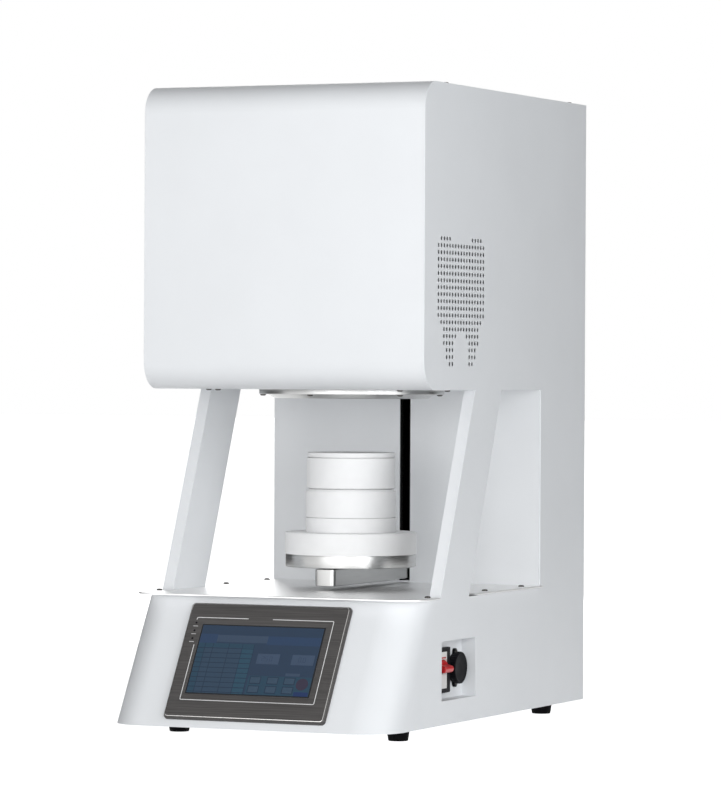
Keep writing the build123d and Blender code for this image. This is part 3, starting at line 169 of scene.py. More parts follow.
def turned(profile, centre, segments=128):
    """Surface of revolution: each (radius, height) of the profile goes round the vertical through centre."""
    profile = np.asarray(profile, float)
    angle = np.arange(segments)[:, None] * 2 * pi / segments
    x = centre[0] + profile[:, 0] * np.cos(angle)
    y = centre[1] + profile[:, 0] * np.sin(angle)
    z = np.broadcast_to(centre[2] + profile[:, 1], x.shape)
    return np.stack([x, y, z], -1).reshape(-1, 3), grid_faces(segments, len(profile), wrap_rows=True)


def along_x(shape, seat):
    """A shape turned from its +Z axis to +X, then moved to its seat."""
    points, faces = shape
    x, y, z = np.asarray(points).T
    return np.stack([z, y, -x], -1) + np.asarray(seat), faces


def mitred(loop, reach):
    """Closed loop of plane points moved to its left by reach.

    Each point goes along the mitre of its two edges: the sum of their normals over 1 + their dot product.
    """
    edge = np.roll(loop, -1, 0) - loop
    edge /= np.linalg.norm(edge, axis=1)[:, None]
    normal = np.stack([-edge[:, 1], edge[:, 0]], -1)
    before = np.roll(normal, 1, 0)
    lean = 1 + (normal * before).sum(1)
    return loop + reach * (normal + before) / lean[:, None]


def sheet_shape(loops, thickness, ease, undercut=0.0, plain=1):
    """Flat sheet in a plane: an outer loop and holes, each edge eased by a small bevel on both faces.

    A profile of four points (eased in, full, full, eased in) is carried round each loop as its wall, and
    the two faces are filled with triangles between the eased loops. The outer loop runs anticlockwise and
    holes, which are convex, run clockwise: a triangle whose corners all lie on one hole is left out.
    Loops after the first `plain` ones open out behind the far face by `undercut`.
    """
    points, faces, start = [], [], 0
    depths = np.array([0.0, ease, thickness - ease, thickness])
    under = np.array([0.0, thickness * UNDERCUT_START, thickness - ease, thickness])
    rim_start, rims = [], []
    for number, loop in enumerate(loops):
        rounding = ease * (1.0 if number == 0 else HOLE_EASE_SHARE)
        cut_under = undercut > 0 and number >= plain
        reaches = (undercut, undercut, 0.0, rounding) if cut_under else (rounding, 0.0, 0.0, rounding)
        rings = [np.column_stack([mitred(loop, reach), np.full(len(loop), depth)])
                 for reach, depth in zip(reaches, under if cut_under else depths)]
        points.append(np.concatenate(rings))
        faces += (grid_faces(len(depths), len(loop), wrap_columns=True) + start).tolist()
        rim_start.append(start)
        rims.append(rings[0][:, :2])
        start += len(depths) * len(loop)
    flat = np.concatenate(rims)
    edges, count = [], 0
    near, far = [], []
    for loop_start, rim in zip(rim_start, rims):
        n = len(rim)
        ring = np.arange(n)
        edges += np.column_stack([count + ring, count + (ring + 1) % n]).tolist()
        near.append(loop_start + ring)
        far.append(loop_start + (len(depths) - 1) * n + ring)
        count += n
    near, far = np.concatenate(near), np.concatenate(far)
    owner = np.repeat(np.arange(len(rims)), [len(rim) for rim in rims])
    result = delaunay_2d_cdt([Vector(p) for p in flat], edges, [], 1, FILL_TOLERANCE)
    keys = np.array([[result[3][k][0] for k in face] for face in result[2]])
    in_one_hole = (owner[keys] == owner[keys[:, :1]]).all(1) & (owner[keys[:, 0]] > 0)
    kept = keys[inside(flat[keys].mean(1), rims[0]) & ~in_one_hole]
    return np.concatenate(points), faces + near[kept].tolist() + far[kept[:, ::-1]].tolist()


def inside(points, loop):
    """Which points lie inside a loop, by counting the edges that cross the level line to their right."""
    a, b = loop, np.roll(loop, -1, 0)
    x, y = points[:, :1], points[:, 1:]
    spans = (a[:, 1] > y) != (b[:, 1] > y)
    rise = np.where(a[:, 1] == b[:, 1], 1.0, b[:, 1] - a[:, 1])
    crossing = a[:, 0] + (y - a[:, 1]) / rise * (b[:, 0] - a[:, 0])
    return (spans & (crossing > x)).sum(1) % 2 == 1


# ---------------------------------------------------------------- finishes

NOISE_LOW, NOISE_HIGH = 0.3, 0.7    # nearly all of a noise lies between these


def new_finish(name, colour, roughness, metallic=0.0, specular=0.5, coat=0.0):
    """Material whose even values sit on the shader's own sockets."""
    material = bpy.data.materials.new(name)
    material.use_nodes = True
    tree = material.node_tree
    shader = tree.nodes["Principled BSDF"]
    shader.inputs["Base Color"].default_value = (*colour, 1.0)
    shader.inputs["Roughness"].default_value = roughness
    shader.inputs["Metallic"].default_value = metallic
    shader.inputs["Specular IOR Level"].default_value = specular
    shader.inputs["Coat Weight"].default_value = coat
    return material, tree, shader


def grain(tree, cycles, detail=3.0):
    """Noise on the piece's own coordinates, with that many cycles per metre along X, Y and Z."""
    place = tree.nodes.new("ShaderNodeTexCoord")
    stretch = tree.nodes.new("ShaderNodeMapping")
    stretch.inputs["Scale"].default_value = cycles
    noise = tree.nodes.new("ShaderNodeTexNoise")
    noise.inputs["Scale"].default_value = 1.0
    noise.inputs["Detail"].default_value = detail
    tree.links.new(place.outputs["Object"], stretch.inputs["Vector"])
    tree.links.new(stretch.outputs["Vector"], noise.inputs["Vector"])
    return noise.outputs["Fac"]


def turning_marks(tree, centre, cycles, detail=3.0):
    """Noise in (radius, height) about a vertical axis, so that its lines run round as a lathe leaves them."""
    place = tree.nodes.new("ShaderNodeTexCoord")
    shift = tree.nodes.new("ShaderNodeMapping")
    shift.inputs["Location"].default_value = (-centre[0], -centre[1], 0.0)
    split = tree.nodes.new("ShaderNodeSeparateXYZ")
    flat = tree.nodes.new("ShaderNodeCombineXYZ")
    length = tree.nodes.new("ShaderNodeVectorMath")
    length.operation = "LENGTH"
    both = tree.nodes.new("ShaderNodeCombineXYZ")
    noise = tree.nodes.new("ShaderNodeTexNoise")
    noise.inputs["Scale"].default_value = cycles
    noise.inputs["Detail"].default_value = detail
    link = tree.links.new
    link(place.outputs["Object"], shift.inputs["Vector"])
    link(shift.outputs["Vector"], split.inputs["Vector"])
    link(split.outputs["X"], flat.inputs["X"])
    link(split.outputs["Y"], flat.inputs["Y"])
    link(flat.outputs["Vector"], length.inputs[0])
    link(length.outputs["Value"], both.inputs["X"])
    link(split.outputs["Z"], both.inputs["Y"])
    link(both.outputs["Vector"], noise.inputs["Vector"])
    return noise.outputs["Fac"]


def spread(tree, marks, socket, low, high):
    """Carries a noise to a socket as values between low and high."""
    ramp = tree.nodes.new("ShaderNodeMapRange")
    ramp.inputs["From Min"].default_value = NOISE_LOW
    ramp.inputs["From Max"].default_value = NOISE_HIGH
    ramp.inputs["To Min"].default_value = low
    ramp.inputs["To Max"].default_value = high
    tree.links.new(marks, ramp.inputs["Value"])
    tree.links.new(ramp.outputs["Result"], socket)


def tinted(tree, marks, socket, dark, light):
    """Carries a noise to a colour socket as a blend of two colours."""
    ramp = tree.nodes.new("ShaderNodeValToRGB")
    ramp.color_ramp.elements[0].position = NOISE_LOW
    ramp.color_ramp.elements[1].position = NOISE_HIGH
    ramp.color_ramp.elements[0].color = (*dark, 1.0)
    ramp.color_ramp.elements[1].color = (*light, 1.0)
    tree.links.new(marks, ramp.inputs["Fac"])
    tree.links.new(ramp.outputs["Color"], socket)


def relief(tree, marks, shader, height, strength=1.0):
    """Turns a noise into bumps of that height in metres."""
    bump = tree.nodes.new("ShaderNodeBump")
    bump.inputs["Strength"].default_value = strength
    bump.inputs["Distance"].default_value = height
    tree.links.new(marks, bump.inputs["Height"])
    tree.links.new(bump.outputs["Normal"], shader.inputs["Normal"])


def powder_coat(name="powder_coat_white", colour=(0.815, 0.830, 0.848)):
    """Baked powder coat: fine orange peel over a very slightly mottled colour."""
    material, tree, shader = new_finish(name, colour, 0.42)
    peel = grain(tree, (1500, 1500, 1500), 2.0)
    relief(tree, peel, shader, 0.012 * MM)
    mottle = grain(tree, (9, 9, 9), 2.0)
    shade = np.array(colour)
    tinted(tree, mottle, shader.inputs["Base Color"], shade * 0.985, shade * 1.01)
    spread(tree, grain(tree, (60, 60, 60)), shader.inputs["Roughness"], 0.38, 0.46)
    return material


def brushed(name, colour, cycles, roughness=(0.26, 0.40), height=0.004 * MM):
    """Brushed metal: noise drawn out along the brushing gives its lines, their gloss and their relief."""
    material, tree, shader = new_finish(name, colour, roughness[0], metallic=1.0)
    lines = grain(tree, cycles, 4.0)
    shade = np.array(colour)
    tinted(tree, lines, shader.inputs["Base Color"], shade * 0.90, np.minimum(shade * 1.06, 1.0))
    spread(tree, lines, shader.inputs["Roughness"], *roughness)
    relief(tree, lines, shader, height)
    return material


def lathe_turned(name, colour, centre, roughness=(0.20, 0.34)):
    """Turned metal: lines run round the axis."""
    material, tree, shader = new_finish(name, colour, roughness[0], metallic=1.0)
    lines = turning_marks(tree, centre, 2600.0)
    shade = np.array(colour)
    tinted(tree, lines, shader.inputs["Base Color"], shade * 0.90, np.minimum(shade * 1.08, 1.0))
    spread(tree, lines, shader.inputs["Roughness"], *roughness)
    relief(tree, lines, shader, 0.001 * MM)
    return material


def galvanised():
    """Zinc-coated sheet with soft cloudy spangles."""
    material, tree, shader = new_finish("galvanised_sheet", (0.55, 0.56, 0.57), 0.4, metallic=1.0)
    cells = tree.nodes.new("ShaderNodeTexVoronoi")
    cells.inputs["Scale"].default_value = 140.0
    place = tree.nodes.new("ShaderNodeTexCoord")
    tree.links.new(place.outputs["Object"], cells.inputs["Vector"])
    tinted(tree, cells.outputs["Color"], shader.inputs["Base Color"], (0.46, 0.47, 0.48), (0.62, 0.63, 0.64))
    spread(tree, cells.outputs["Color"], shader.inputs["Roughness"], 0.34, 0.5)
    return material


def pressed_fibre():
    """Vacuum-formed ceramic fibre: matt, faintly fluffy, with shallow pits."""
    material, tree, shader = new_finish("pressed_ceramic_fibre", (0.90, 0.90, 0.90), 0.95, specular=0.0)
    pits = grain(tree, (700, 700, 700), 6.0)
    relief(tree, pits, shader, 0.10 * MM)
    clouds = grain(tree, (45, 45, 45))
    tinted(tree, clouds, shader.inputs["Base Color"], (0.885, 0.885, 0.885), (0.915, 0.915, 0.915))
    return material


def fired_ceramic():
    """Dense fired ceramic: matt and smooth with a very fine grain."""
    material, tree, shader = new_finish("fired_ceramic", (0.92, 0.92, 0.922), 0.85, specular=0.02)
    fine = grain(tree, (1400, 1400, 1400), 3.0)
    relief(tree, fine, shader, 0.02 * MM)
    clouds = grain(tree, (60, 60, 60))
    tinted(tree, clouds, shader.inputs["Base Color"], (0.91, 0.91, 0.912), (0.935, 0.935, 0.937))
    return material


def moulded(name, colour, roughness=0.38, peel=0.015 * MM, specular=0.35):
    """Moulded plastic or rubber with a fine spark-eroded texture."""
    material, tree, shader = new_finish(name, colour, roughness, specular=specular)
    skin = grain(tree, (1800, 1800, 1800), 2.0)
    relief(tree, skin, shader, peel)
    spread(tree, grain(tree, (90, 90, 90)), shader.inputs["Roughness"], roughness * 0.88, roughness * 1.15)
    shade = np.array(colour)
    tinted(tree, grain(tree, (25, 25, 25)), shader.inputs["Base Color"], shade * 0.93, shade * 1.05)
    return material


def wound_copper():
    """Taped winding: fine turns seen through amber tape."""
    material, tree, shader = new_finish("taped_winding", (0.35, 0.14, 0.04), 0.35, coat=0.4)
    turns = grain(tree, (500, 500, 30), 2.0)
    tinted(tree, turns, shader.inputs["Base Color"], (0.22, 0.08, 0.02), (0.48, 0.20, 0.06))
    relief(tree, turns, shader, 0.15 * MM)
    return material


def printed_board():
    """Green solder mask with paler copper tracks beneath."""
    material, tree, shader = new_finish("printed_board", (0.02, 0.16, 0.07), 0.3, coat=0.3)
    tracks = grain(tree, (260, 90, 90), 1.0)
    tinted(tree, tracks, shader.inputs["Base Color"], (0.012, 0.11, 0.045), (0.035, 0.24, 0.10))
    return material


POWDER_COAT = powder_coat()
DECK_STEEL = brushed("brushed_deck_steel", (0.90, 0.90, 0.90), (20, 1400, 1400), (0.40, 0.47))
TURNED_STEEL = lathe_turned("turned_stainless", (0.52, 0.52, 0.515), (0, CHAMBER_Y), (0.26, 0.32))
ARM_STEEL = brushed("brushed_arm_steel", (0.44, 0.44, 0.435), (1400, 25, 1400), (0.20, 0.26), 0.002 * MM)
SCREW_STEEL = brushed("screw_steel", (0.10, 0.095, 0.09), (900, 900, 900), (0.22, 0.34))
SHAFT_STEEL = brushed("ground_shaft_steel", (0.58, 0.58, 0.59), (900, 900, 60), (0.16, 0.26))
BARE_ALUMINIUM = brushed("milled_aluminium", (0.72, 0.73, 0.74), (60, 1100, 1100), (0.32, 0.44))
NUT_BRONZE = brushed("machined_bronze", (0.60, 0.38, 0.17), (1000, 1000, 80), (0.28, 0.4))
ZINC_SHEET = galvanised()
FIBRE = pressed_fibre()
CERAMIC = fired_ceramic()
RUBBER = moulded("foot_rubber", (0.004, 0.004, 0.005), 0.6, 0.03 * MM, 0.05)
# black bristle strip in the column's slot: the strip's own black, which also paints the shade inside the
# column behind the slot
BRISTLE_AND_SHADE = moulded("bristle_and_painted_shade", (0.005, 0.005, 0.005), 0.9, 0.2 * MM, 0.1)
BLACK_COAT = moulded("matt_black_coat", (0.008, 0.008, 0.008), 0.7)
BLACK_PLASTIC = moulded("black_plastic", (0.007, 0.007, 0.009), 0.40, 0.015 * MM, 0.05)
WHITE_PLASTIC = moulded("white_plastic", (0.78, 0.78, 0.76), 0.4)
RED_PLASTIC = moulded("red_plastic", (0.55, 0.02, 0.022), 0.3)
ELEMENT_GREY = moulded("silicide_element", (0.13, 0.13, 0.14), 0.45)
WINDING = wound_copper()
BOARD = printed_board()


def brushed_bezel():
    """Dark grey film on the bezel, brushed from side to side."""
    material, tree, shader = new_finish("brushed_grey_film", (0.066, 0.061, 0.060), 0.36, specular=0.35)
    lines = grain(tree, (14, 900, 900), 4.0)
    tinted(tree, lines, shader.inputs["Base Color"], (0.044, 0.041, 0.040), (0.080, 0.075, 0.073))
    spread(tree, lines, shader.inputs["Roughness"], 0.30, 0.46)
    relief(tree, lines, shader, 0.006 * MM)
    return material


def display_picture():
    """Dim picture behind glass: its colours come from the face's own attribute, with a fine dot grain."""
    material, tree, shader = new_finish("display_picture", (0.04, 0.07, 0.11), 0.12, specular=0.25)
    picture = tree.nodes.new("ShaderNodeAttribute")
    picture.attribute_name = "picture"
    dots = tree.nodes.new("ShaderNodeMix")
    dots.data_type = "RGBA"
    dots.blend_type = "MULTIPLY"
    dots.inputs["Factor"].default_value = 1.0
    tree.links.new(picture.outputs["Color"], dots.inputs["A"])
    tinted(tree, grain(tree, (1600, 1600, 1600), 1.0), dots.inputs["B"], (0.90, 0.90, 0.90), (1.0, 1.0, 1.0))
    tree.links.new(dots.outputs["Result"], shader.inputs["Base Color"])
    return material


BEZEL = brushed_bezel()
# painted highlight: a light, glossy metal strip on the dark bezel stands in for the light that the bevel's
# edge catches
BEZEL_PAINTED_HIGHLIGHT = brushed("bezel_painted_highlight", (0.62, 0.61, 0.60), (600, 600, 600), (0.20, 0.28))
DISPLAY = display_picture()
WHITE_PRINT = moulded("white_print", (0.80, 0.80, 0.80), 0.45)
CARD_GREY = moulded("card_grey", (0.03, 0.03, 0.03), 0.9)

NODE_FINISHES = {
    POWDER_COAT: ("side_panel_left", "side_panel_right", "strut_channels", "head_shell", "column_cover",
                  "rear_panel", "base_front_cover", "recess_tray"),
    ZINC_SHEET: ("floor_pan", "frame_rails", "chamber_drum", "drum_lid", "power_supply"),
    DECK_STEEL: ("base_plate",),
    TURNED_STEEL: ("mouth_flange", "mouth_collar", "lift_tray"),
    ARM_STEEL: ("lift_arm", "lift_tongue"),
    SCREW_STEEL: ("deck_screws", "cabinet_screws", "arm_fasteners"),
    RUBBER: ("rubber_feet",),
    BRISTLE_AND_SHADE: ("slot_brushes",),
    BLACK_PLASTIC: ("panel_body", "breaker_frame", "inlet_socket", "inlet_cap", "fan_housing", "fan_rotor",
                    "lift_sensors", "panel_bezel", "panel_screen"),
    WHITE_PLASTIC: ("breaker_body",),
    RED_PLASTIC: ("breaker_lever",),
    FIBRE: ("insulation_floor", "insulation_wall", "insulation_roof", "hearth_plug"),
    CERAMIC: ("pedestal", "lower_crucible", "upper_crucible", "crucible_lid", "element_holders",
              "thermocouple"),
    ELEMENT_GREY: ("heating_elements",),
    BARE_ALUMINIUM: ("terminal_clamps", "bearing_blocks", "lift_carriage", "drive_coupling",
                     "power_controller"),
    BLACK_COAT: ("lift_channel", "lift_motor"),
    SHAFT_STEEL: ("guide_rods", "lead_screw", "screw_bearings", "linear_bushes"),
    NUT_BRONZE: ("lift_nut",),
    WINDING: ("transformer",),
    BOARD: ("control_board",),
}


def dress_parts():
    """Gives every part of the frame its finish."""
    for finish, nodes in NODE_FINISHES.items():
        for node in nodes:
            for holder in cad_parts[node].material_slots:
                holder.material = finish


# ---------------------------------------------------------------- sizes that only the looks need

STRUT_TOP_LENGTH = 81.5 * MM
STRUT_FOOT_LENGTH = 85.5 * MM
HEAD_ROUND = 32.0 * MM
COLUMN_REBATE = 2.0 * MM
SLOPE_RUN = 87.3 * MM
SHEET_EASE = 0.25 * MM

VENT_RADIUS = 2.5 * MM
VENT_PITCH_Y = 8.4 * MM
VENT_PITCH_Z = 8.07 * MM
VENT_SETBACK = 41.2 * MM
VENT_RISE = 175.8 * MM
VENT_SEGMENTS = 16
VENT_UNDERCUT = 1.25 * MM
VENT_ROWS = (
    [((2, 5), (13, 16))]
    + [((1, 17),)] * 11
    + [((2, 16),), ((3, 15),), ((3, 7), (11, 15)), ((3, 6), (12, 15))]
    + [((4, 6), (12, 14))] * 2
    + [((5, 6), (12, 13))]
)

DECK_CORNER = 46.0 * MM                 # the edge up to the notch is too short for it: the arc is 34.9 mm
DECK_CORNER_STEPS = 20
DECK_EASE = 0.5 * MM
NOTCH_FRONT = 8.0 * MM
NOTCH_REAR = 16.5 * MM
NOTCH_DEPTH = 14.0 * MM
DECK_TUCK = 8.0 * MM
DECK_GAP = 0.8 * MM
DECK_OVERHANG = 12.0 * MM

FRONT_FOOT = low_of("base_front_cover")[1]
SLOPE = np.arctan2(SLOPE_RUN, DECK_LOW - UNDERSIDE)
UP_SLOPE = np.array([0.0, sin(SLOPE), cos(SLOPE)])
OUT_OF_SLOPE = np.array([0.0, -cos(SLOPE), sin(SLOPE)])
SLOPE_FOOT = np.array([0.0, FRONT_FOOT, UNDERSIDE])
PANEL_UP = 84.7 * MM
PANEL_WIDTH = 204.0 * MM
PANEL_HEIGHT = 150.0 * MM
PANEL_PROUD = 5.5 * MM
PANEL_CORNER = 4.5 * MM
PANEL_BEVEL = 2.2 * MM
SCREEN_WIDTH = 157.5 * MM
SCREEN_HEIGHT = 90.2 * MM
SCREEN_X = -2.6 * MM
SCREEN_UP = 1.6 * MM
SCREEN_DEPTH = 1.2 * MM
SCREEN_CORNER = 0.3 * MM
GLASS = 0.8 * MM
LEAST_CORNER = 0.05 * MM


# ---------------------------------------------------------------- more shapes

def rounded_loop(width, height, radius, steps=7):
    """Anticlockwise rectangle about the origin whose corners are quarter circles."""
    turn = np.linspace(0, pi / 2, steps)
    corners = []
    for quarter, (sx, sy) in enumerate([(1, 1), (-1, 1), (-1, -1), (1, -1)]):
        angle = turn + quarter * pi / 2
        corners.append(np.column_stack([sx * (width / 2 - radius) + radius * np.cos(angle),
                                        sy * (height / 2 - radius) + radius * np.sin(angle)]))
    return np.concatenate(corners)


def stacked(rings):
    """Closed skin through rings of equally many points, with a flat end on the first and the last."""
    rings = np.asarray(rings)
    count, around = rings.shape[:2]
    faces = grid_faces(count, around, wrap_columns=True).tolist()
    faces.append(list(range(around))[::-1])
    faces.append([(count - 1) * around + k for k in range(around)])
    return rings.reshape(-1, 3), faces


def slab(width, height, depth, corner, ease, steps=4):
    """Plate with rounded corners, its two faces meeting the rim in quarter circles of radius ease."""
    t = np.linspace(0, pi / 2, steps)
    inset = np.concatenate([ease * (1 - np.sin(t)), ease * (1 - np.cos(t))])
    level = np.concatenate([ease * (1 - np.cos(t)), depth - ease * (1 - np.sin(t))])
    rings = []
    for step, z in zip(inset, level):
        loop = rounded_loop(width - 2 * step, height - 2 * step, max(corner - step, LEAST_CORNER))
        rings.append(np.column_stack([loop, np.full(len(loop), z)]))
    return stacked(rings)


def ribbon(path, width, depth):
    """Flat strip of even width along a path of plane points, raised by depth."""
    path = np.asarray(path, float)
    step = np.gradient(path, axis=0)
    side = np.column_stack([-step[:, 1], step[:, 0]]) / np.linalg.norm(step, axis=1)[:, None] * width / 2
    left, right = path + side, path - side
    low, high = np.zeros((len(path), 1)), np.full((len(path), 1), depth)
    rings = np.stack([np.hstack([left, low]), np.hstack([left, high]), np.hstack([right, high]),
                      np.hstack([right, low])], 1)
    return stacked(rings)


def circle_loop(centre, radius, segments, clockwise=False):
    """Even points round a circle in a plane."""
    angle = np.arange(segments) * 2 * pi / segments * (-1 if clockwise else 1)
    return np.column_stack([centre[0] + radius * np.cos(angle), centre[1] + radius * np.sin(angle)])


def on_side(shape, x_low):
    """Plane (y, z) and depth carried to a sheet whose left face is at x_low."""
    points, faces = shape
    return np.column_stack([x_low + points[:, 2], points[:, 0], points[:, 1]]), faces


def on_slope(shape, x=0.0, up=0.0, out=0.0):
    """Plane (across, up the slope) and depth out of it, measured from the middle of the slope's foot."""
    points, faces = shape
    across, along, depth = (points + np.array([x, up, out])).T
    on_plane = SLOPE_FOOT + np.outer(across, [1, 0, 0]) + np.outer(along, UP_SLOPE)
    return on_plane + np.outer(depth, OUT_OF_SLOPE), faces


# ---------------------------------------------------------------- cabinet sheets

def side_loops():
    """Outline of a side panel in (y, z), with the window between its strut and its column."""
    foot_front = low_of("strut_channels")[1]
    top_rear = high_of("strut_channels")[1]
    window_rear = low_of("column_cover")[1] + COLUMN_REBATE
    outline = eased([
        (REAR, UNDERSIDE), (REAR, TOP), (HEAD_FRONT, TOP), (HEAD_FRONT, HEAD_LOW),
        (top_rear - STRUT_TOP_LENGTH, HEAD_LOW), (foot_front, DECK_LOW), (BASE_FRONT + SLOPE_RUN, DECK_LOW),
        (BASE_FRONT, UNDERSIDE),
    ], [0, 0, HEAD_ROUND, HEAD_ROUND, 0, 0, 0, 0], 14)
    window = np.array([(foot_front + STRUT_FOOT_LENGTH, DECK_LOW), (top_rear, HEAD_LOW),
                       (window_rear, HEAD_LOW), (window_rear, DECK_LOW)])
    return [outline, window]


def vent_loops():
    """Round holes, row by row, clockwise."""
    loops = []
    for row, spans in enumerate(VENT_ROWS):
        z = HEAD_LOW + VENT_RISE - row * VENT_PITCH_Z
        for first, last in spans:
            for column in range(first, last + 1):
                y = HEAD_FRONT + VENT_SETBACK + (column - 1) * VENT_PITCH_Y
                loops.append(circle_loop((y, z), VENT_RADIUS, VENT_SEGMENTS, clockwise=True))
    return loops


def side_sheets():
    """Both side panels; the right one has the vents and the service opening."""
    tray_low, tray_high = low_of("recess_tray"), high_of("recess_tray")
    y0, y1 = tray_low[1] + SHEET, tray_high[1] - SHEET
    z0, z1 = tray_low[2] + SHEET, tray_high[2] - SHEET
    opening = np.array([(y0, z0), (y0, z1), (y1, z1), (y1, z0)])
    left = on_side(sheet_shape(side_loops(), SHEET, SHEET_EASE), -HALF_WIDTH)
    right_loops = side_loops() + [opening] + vent_loops()
    right = on_side(sheet_shape(right_loops, SHEET, SHEET_EASE, VENT_UNDERCUT, plain=3), HALF_WIDTH - SHEET)
    for name, shape, node in (("side_sheet_left", left, "side_panel_left"),
                              ("side_sheet_right", right, "side_panel_right")):
        mesh_piece(name, *shape, "cabinet", POWDER_COAT, [node], "white_coat", SHEET_SMOOTH)


def deck():
    """Stainless deck: front corners are arcs, both long edges are notched round the struts.

    A core under it, narrower than the struts' gap, leaves a dark line DECK_GAP high below the deck's edge.
    """
    wide, front = high_of("base_plate")[0], low_of("base_plate")[1]
    rear = high_of("base_plate")[1]
    lip = rear - DECK_TUCK + COLUMN_REBATE
    inner = HALF_WIDTH - 2 * SHEET
    notch_x = high_of("strut_channels")[0] + SHEET - NOTCH_DEPTH
    notch_front = low_of("strut_channels")[1] - NOTCH_FRONT
    notch_rear = low_of("strut_channels")[1] + STRUT_FOOT_LENGTH + NOTCH_REAR
    right = [(0, front), (wide, front), (wide, notch_front), (notch_x, notch_front), (notch_x, notch_rear),
             (wide, notch_rear), (wide, lip), (inner, lip), (inner, rear), (0, rear)]
    corners = right + [(-x, y) for x, y in right[::-1]][1:]
    radii = np.zeros(len(corners))
    radii[[1, -2]] = DECK_CORNER
    outline = eased(corners, radii, DECK_CORNER_STEPS)[:-1]
    points, faces = sheet_shape([outline], DECK_TOP - DECK_LOW - DECK_GAP, DECK_EASE)
    core_x, core_front = notch_x - DECK_EASE, front + DECK_OVERHANG
    core = np.array([(core_x, core_front), (core_x, rear), (-core_x, rear), (-core_x, core_front)])
    core_points, core_faces = sheet_shape([core], DECK_GAP, DECK_EASE / 4)
    plate = points + (0, 0, DECK_LOW + DECK_GAP), faces
    shape = join(plate, (core_points + (0, 0, DECK_LOW), core_faces))
    mesh_piece("deck_sheet", *shape, "cabinet", DECK_STEEL, ["base_plate"], "stainless_plate", SHEET_SMOOTH)


# ---------------------------------------------------------------- touch panel

BEZEL_LINE_LEFT, BEZEL_LINE_RIGHT = -90.0 * MM, 84.5 * MM
BEZEL_LINE_LOW, BEZEL_LINE_HIGH = 33.0 * MM, 139.5 * MM
BEZEL_LINE_WIDTH = 0.8 * MM
BEZEL_LINE_GAP = (-24.0 * MM, 7.0 * MM)
LAMP_X = -89.7 * MM
LAMP_UPS = (132.6 * MM, 122.4 * MM, 112.2 * MM)
LAMP_RADIUS = 1.3 * MM
LAMP_RISE = 0.25 * MM
LAMP_SEGMENTS = 20
DASH_HALF = 3.0 * MM
DASH_DROP = 4.4 * MM
DASH_WIDTH = 0.55 * MM
PRINT_RISE = 0.06 * MM
LINE_CORNER = 1.5 * MM                  # 1.47 mm at the short tail, by EDGE_SHARE
LINE_STEP_IN = 4.5 * MM                 # below the lamps, the line's left side is this far further in
LINE_BELOW_LAMPS = 8 * MM               # and starts this far below the lowest one
LINE_TAIL = 3.0 * MM

# (inset, level) from the rim in, (grown, level) down into the screen's pocket, and round the painted
# highlight strip
BEZEL_STEPS = (
    (0, 0), (0, PANEL_PROUD - PANEL_BEVEL - 0.4 * MM), (0.12 * MM, PANEL_PROUD - PANEL_BEVEL),
    (PANEL_BEVEL - 0.3 * MM, PANEL_PROUD - 0.25 * MM), (PANEL_BEVEL, PANEL_PROUD - 0.08 * MM),
    (PANEL_BEVEL + 0.5 * MM, PANEL_PROUD),
)
POCKET_STEPS = (
    (0.7 * MM, PANEL_PROUD), (0.35 * MM, PANEL_PROUD - 0.12 * MM), (0.0, PANEL_PROUD - 0.5 * MM),
    (0.0, PANEL_PROUD - SCREEN_DEPTH),
)
HIGHLIGHT_STRIP_STEPS = (
    (PANEL_BEVEL - 0.3 * MM, PANEL_PROUD - 0.45 * MM), (PANEL_BEVEL - 0.3 * MM, PANEL_PROUD - 0.21 * MM),
    (PANEL_BEVEL + 0.25 * MM, PANEL_PROUD + 0.03 * MM), (PANEL_BEVEL + 0.25 * MM, PANEL_PROUD - 0.45 * MM),
)


def bezel_rings(steps):
    """The bezel's outline drawn in by each inset, at each level."""
    rings = []
    for inset, level in steps:
        loop = rounded_loop(PANEL_WIDTH - 2 * inset, PANEL_HEIGHT - 2 * inset, PANEL_CORNER - inset / 2)
        rings.append(np.column_stack([loop, np.full(len(loop), level)]))
    return rings


def bezel():
    """Front moulding: rings step in over a bevel to the flat, then down into the screen's pocket."""
    rings = bezel_rings(BEZEL_STEPS)
    for grown, level in POCKET_STEPS:
        loop = rounded_loop(SCREEN_WIDTH + 2 * grown, SCREEN_HEIGHT + 2 * grown, SCREEN_CORNER + grown)
        rings.append(np.column_stack([loop + (SCREEN_X, SCREEN_UP), np.full(len(loop), level)]))
    shape = on_slope(stacked(rings), 0, PANEL_UP)
    mesh_piece("bezel_moulding", *shape, "cabinet", BEZEL, ["panel_bezel"], "bezel_grey", BEZEL_SMOOTH)


def bezel_highlight_strip():
    """Painted highlight where the bevel meets the face: a strip 0.55 mm wide of light, glossy metal that
    leans outwards by 0.24 mm.
    """
    rings = np.array(bezel_rings(HIGHLIGHT_STRIP_STEPS))
    faces = grid_faces(*rings.shape[:2], wrap_rows=True, wrap_columns=True)
    shape = on_slope((rings.reshape(-1, 3), faces), 0, PANEL_UP)
    mesh_piece("bezel_highlight_strip", *shape, "cabinet", BEZEL_PAINTED_HIGHLIGHT, slot="bezel_grey", smooth=BEZEL_SMOOTH)


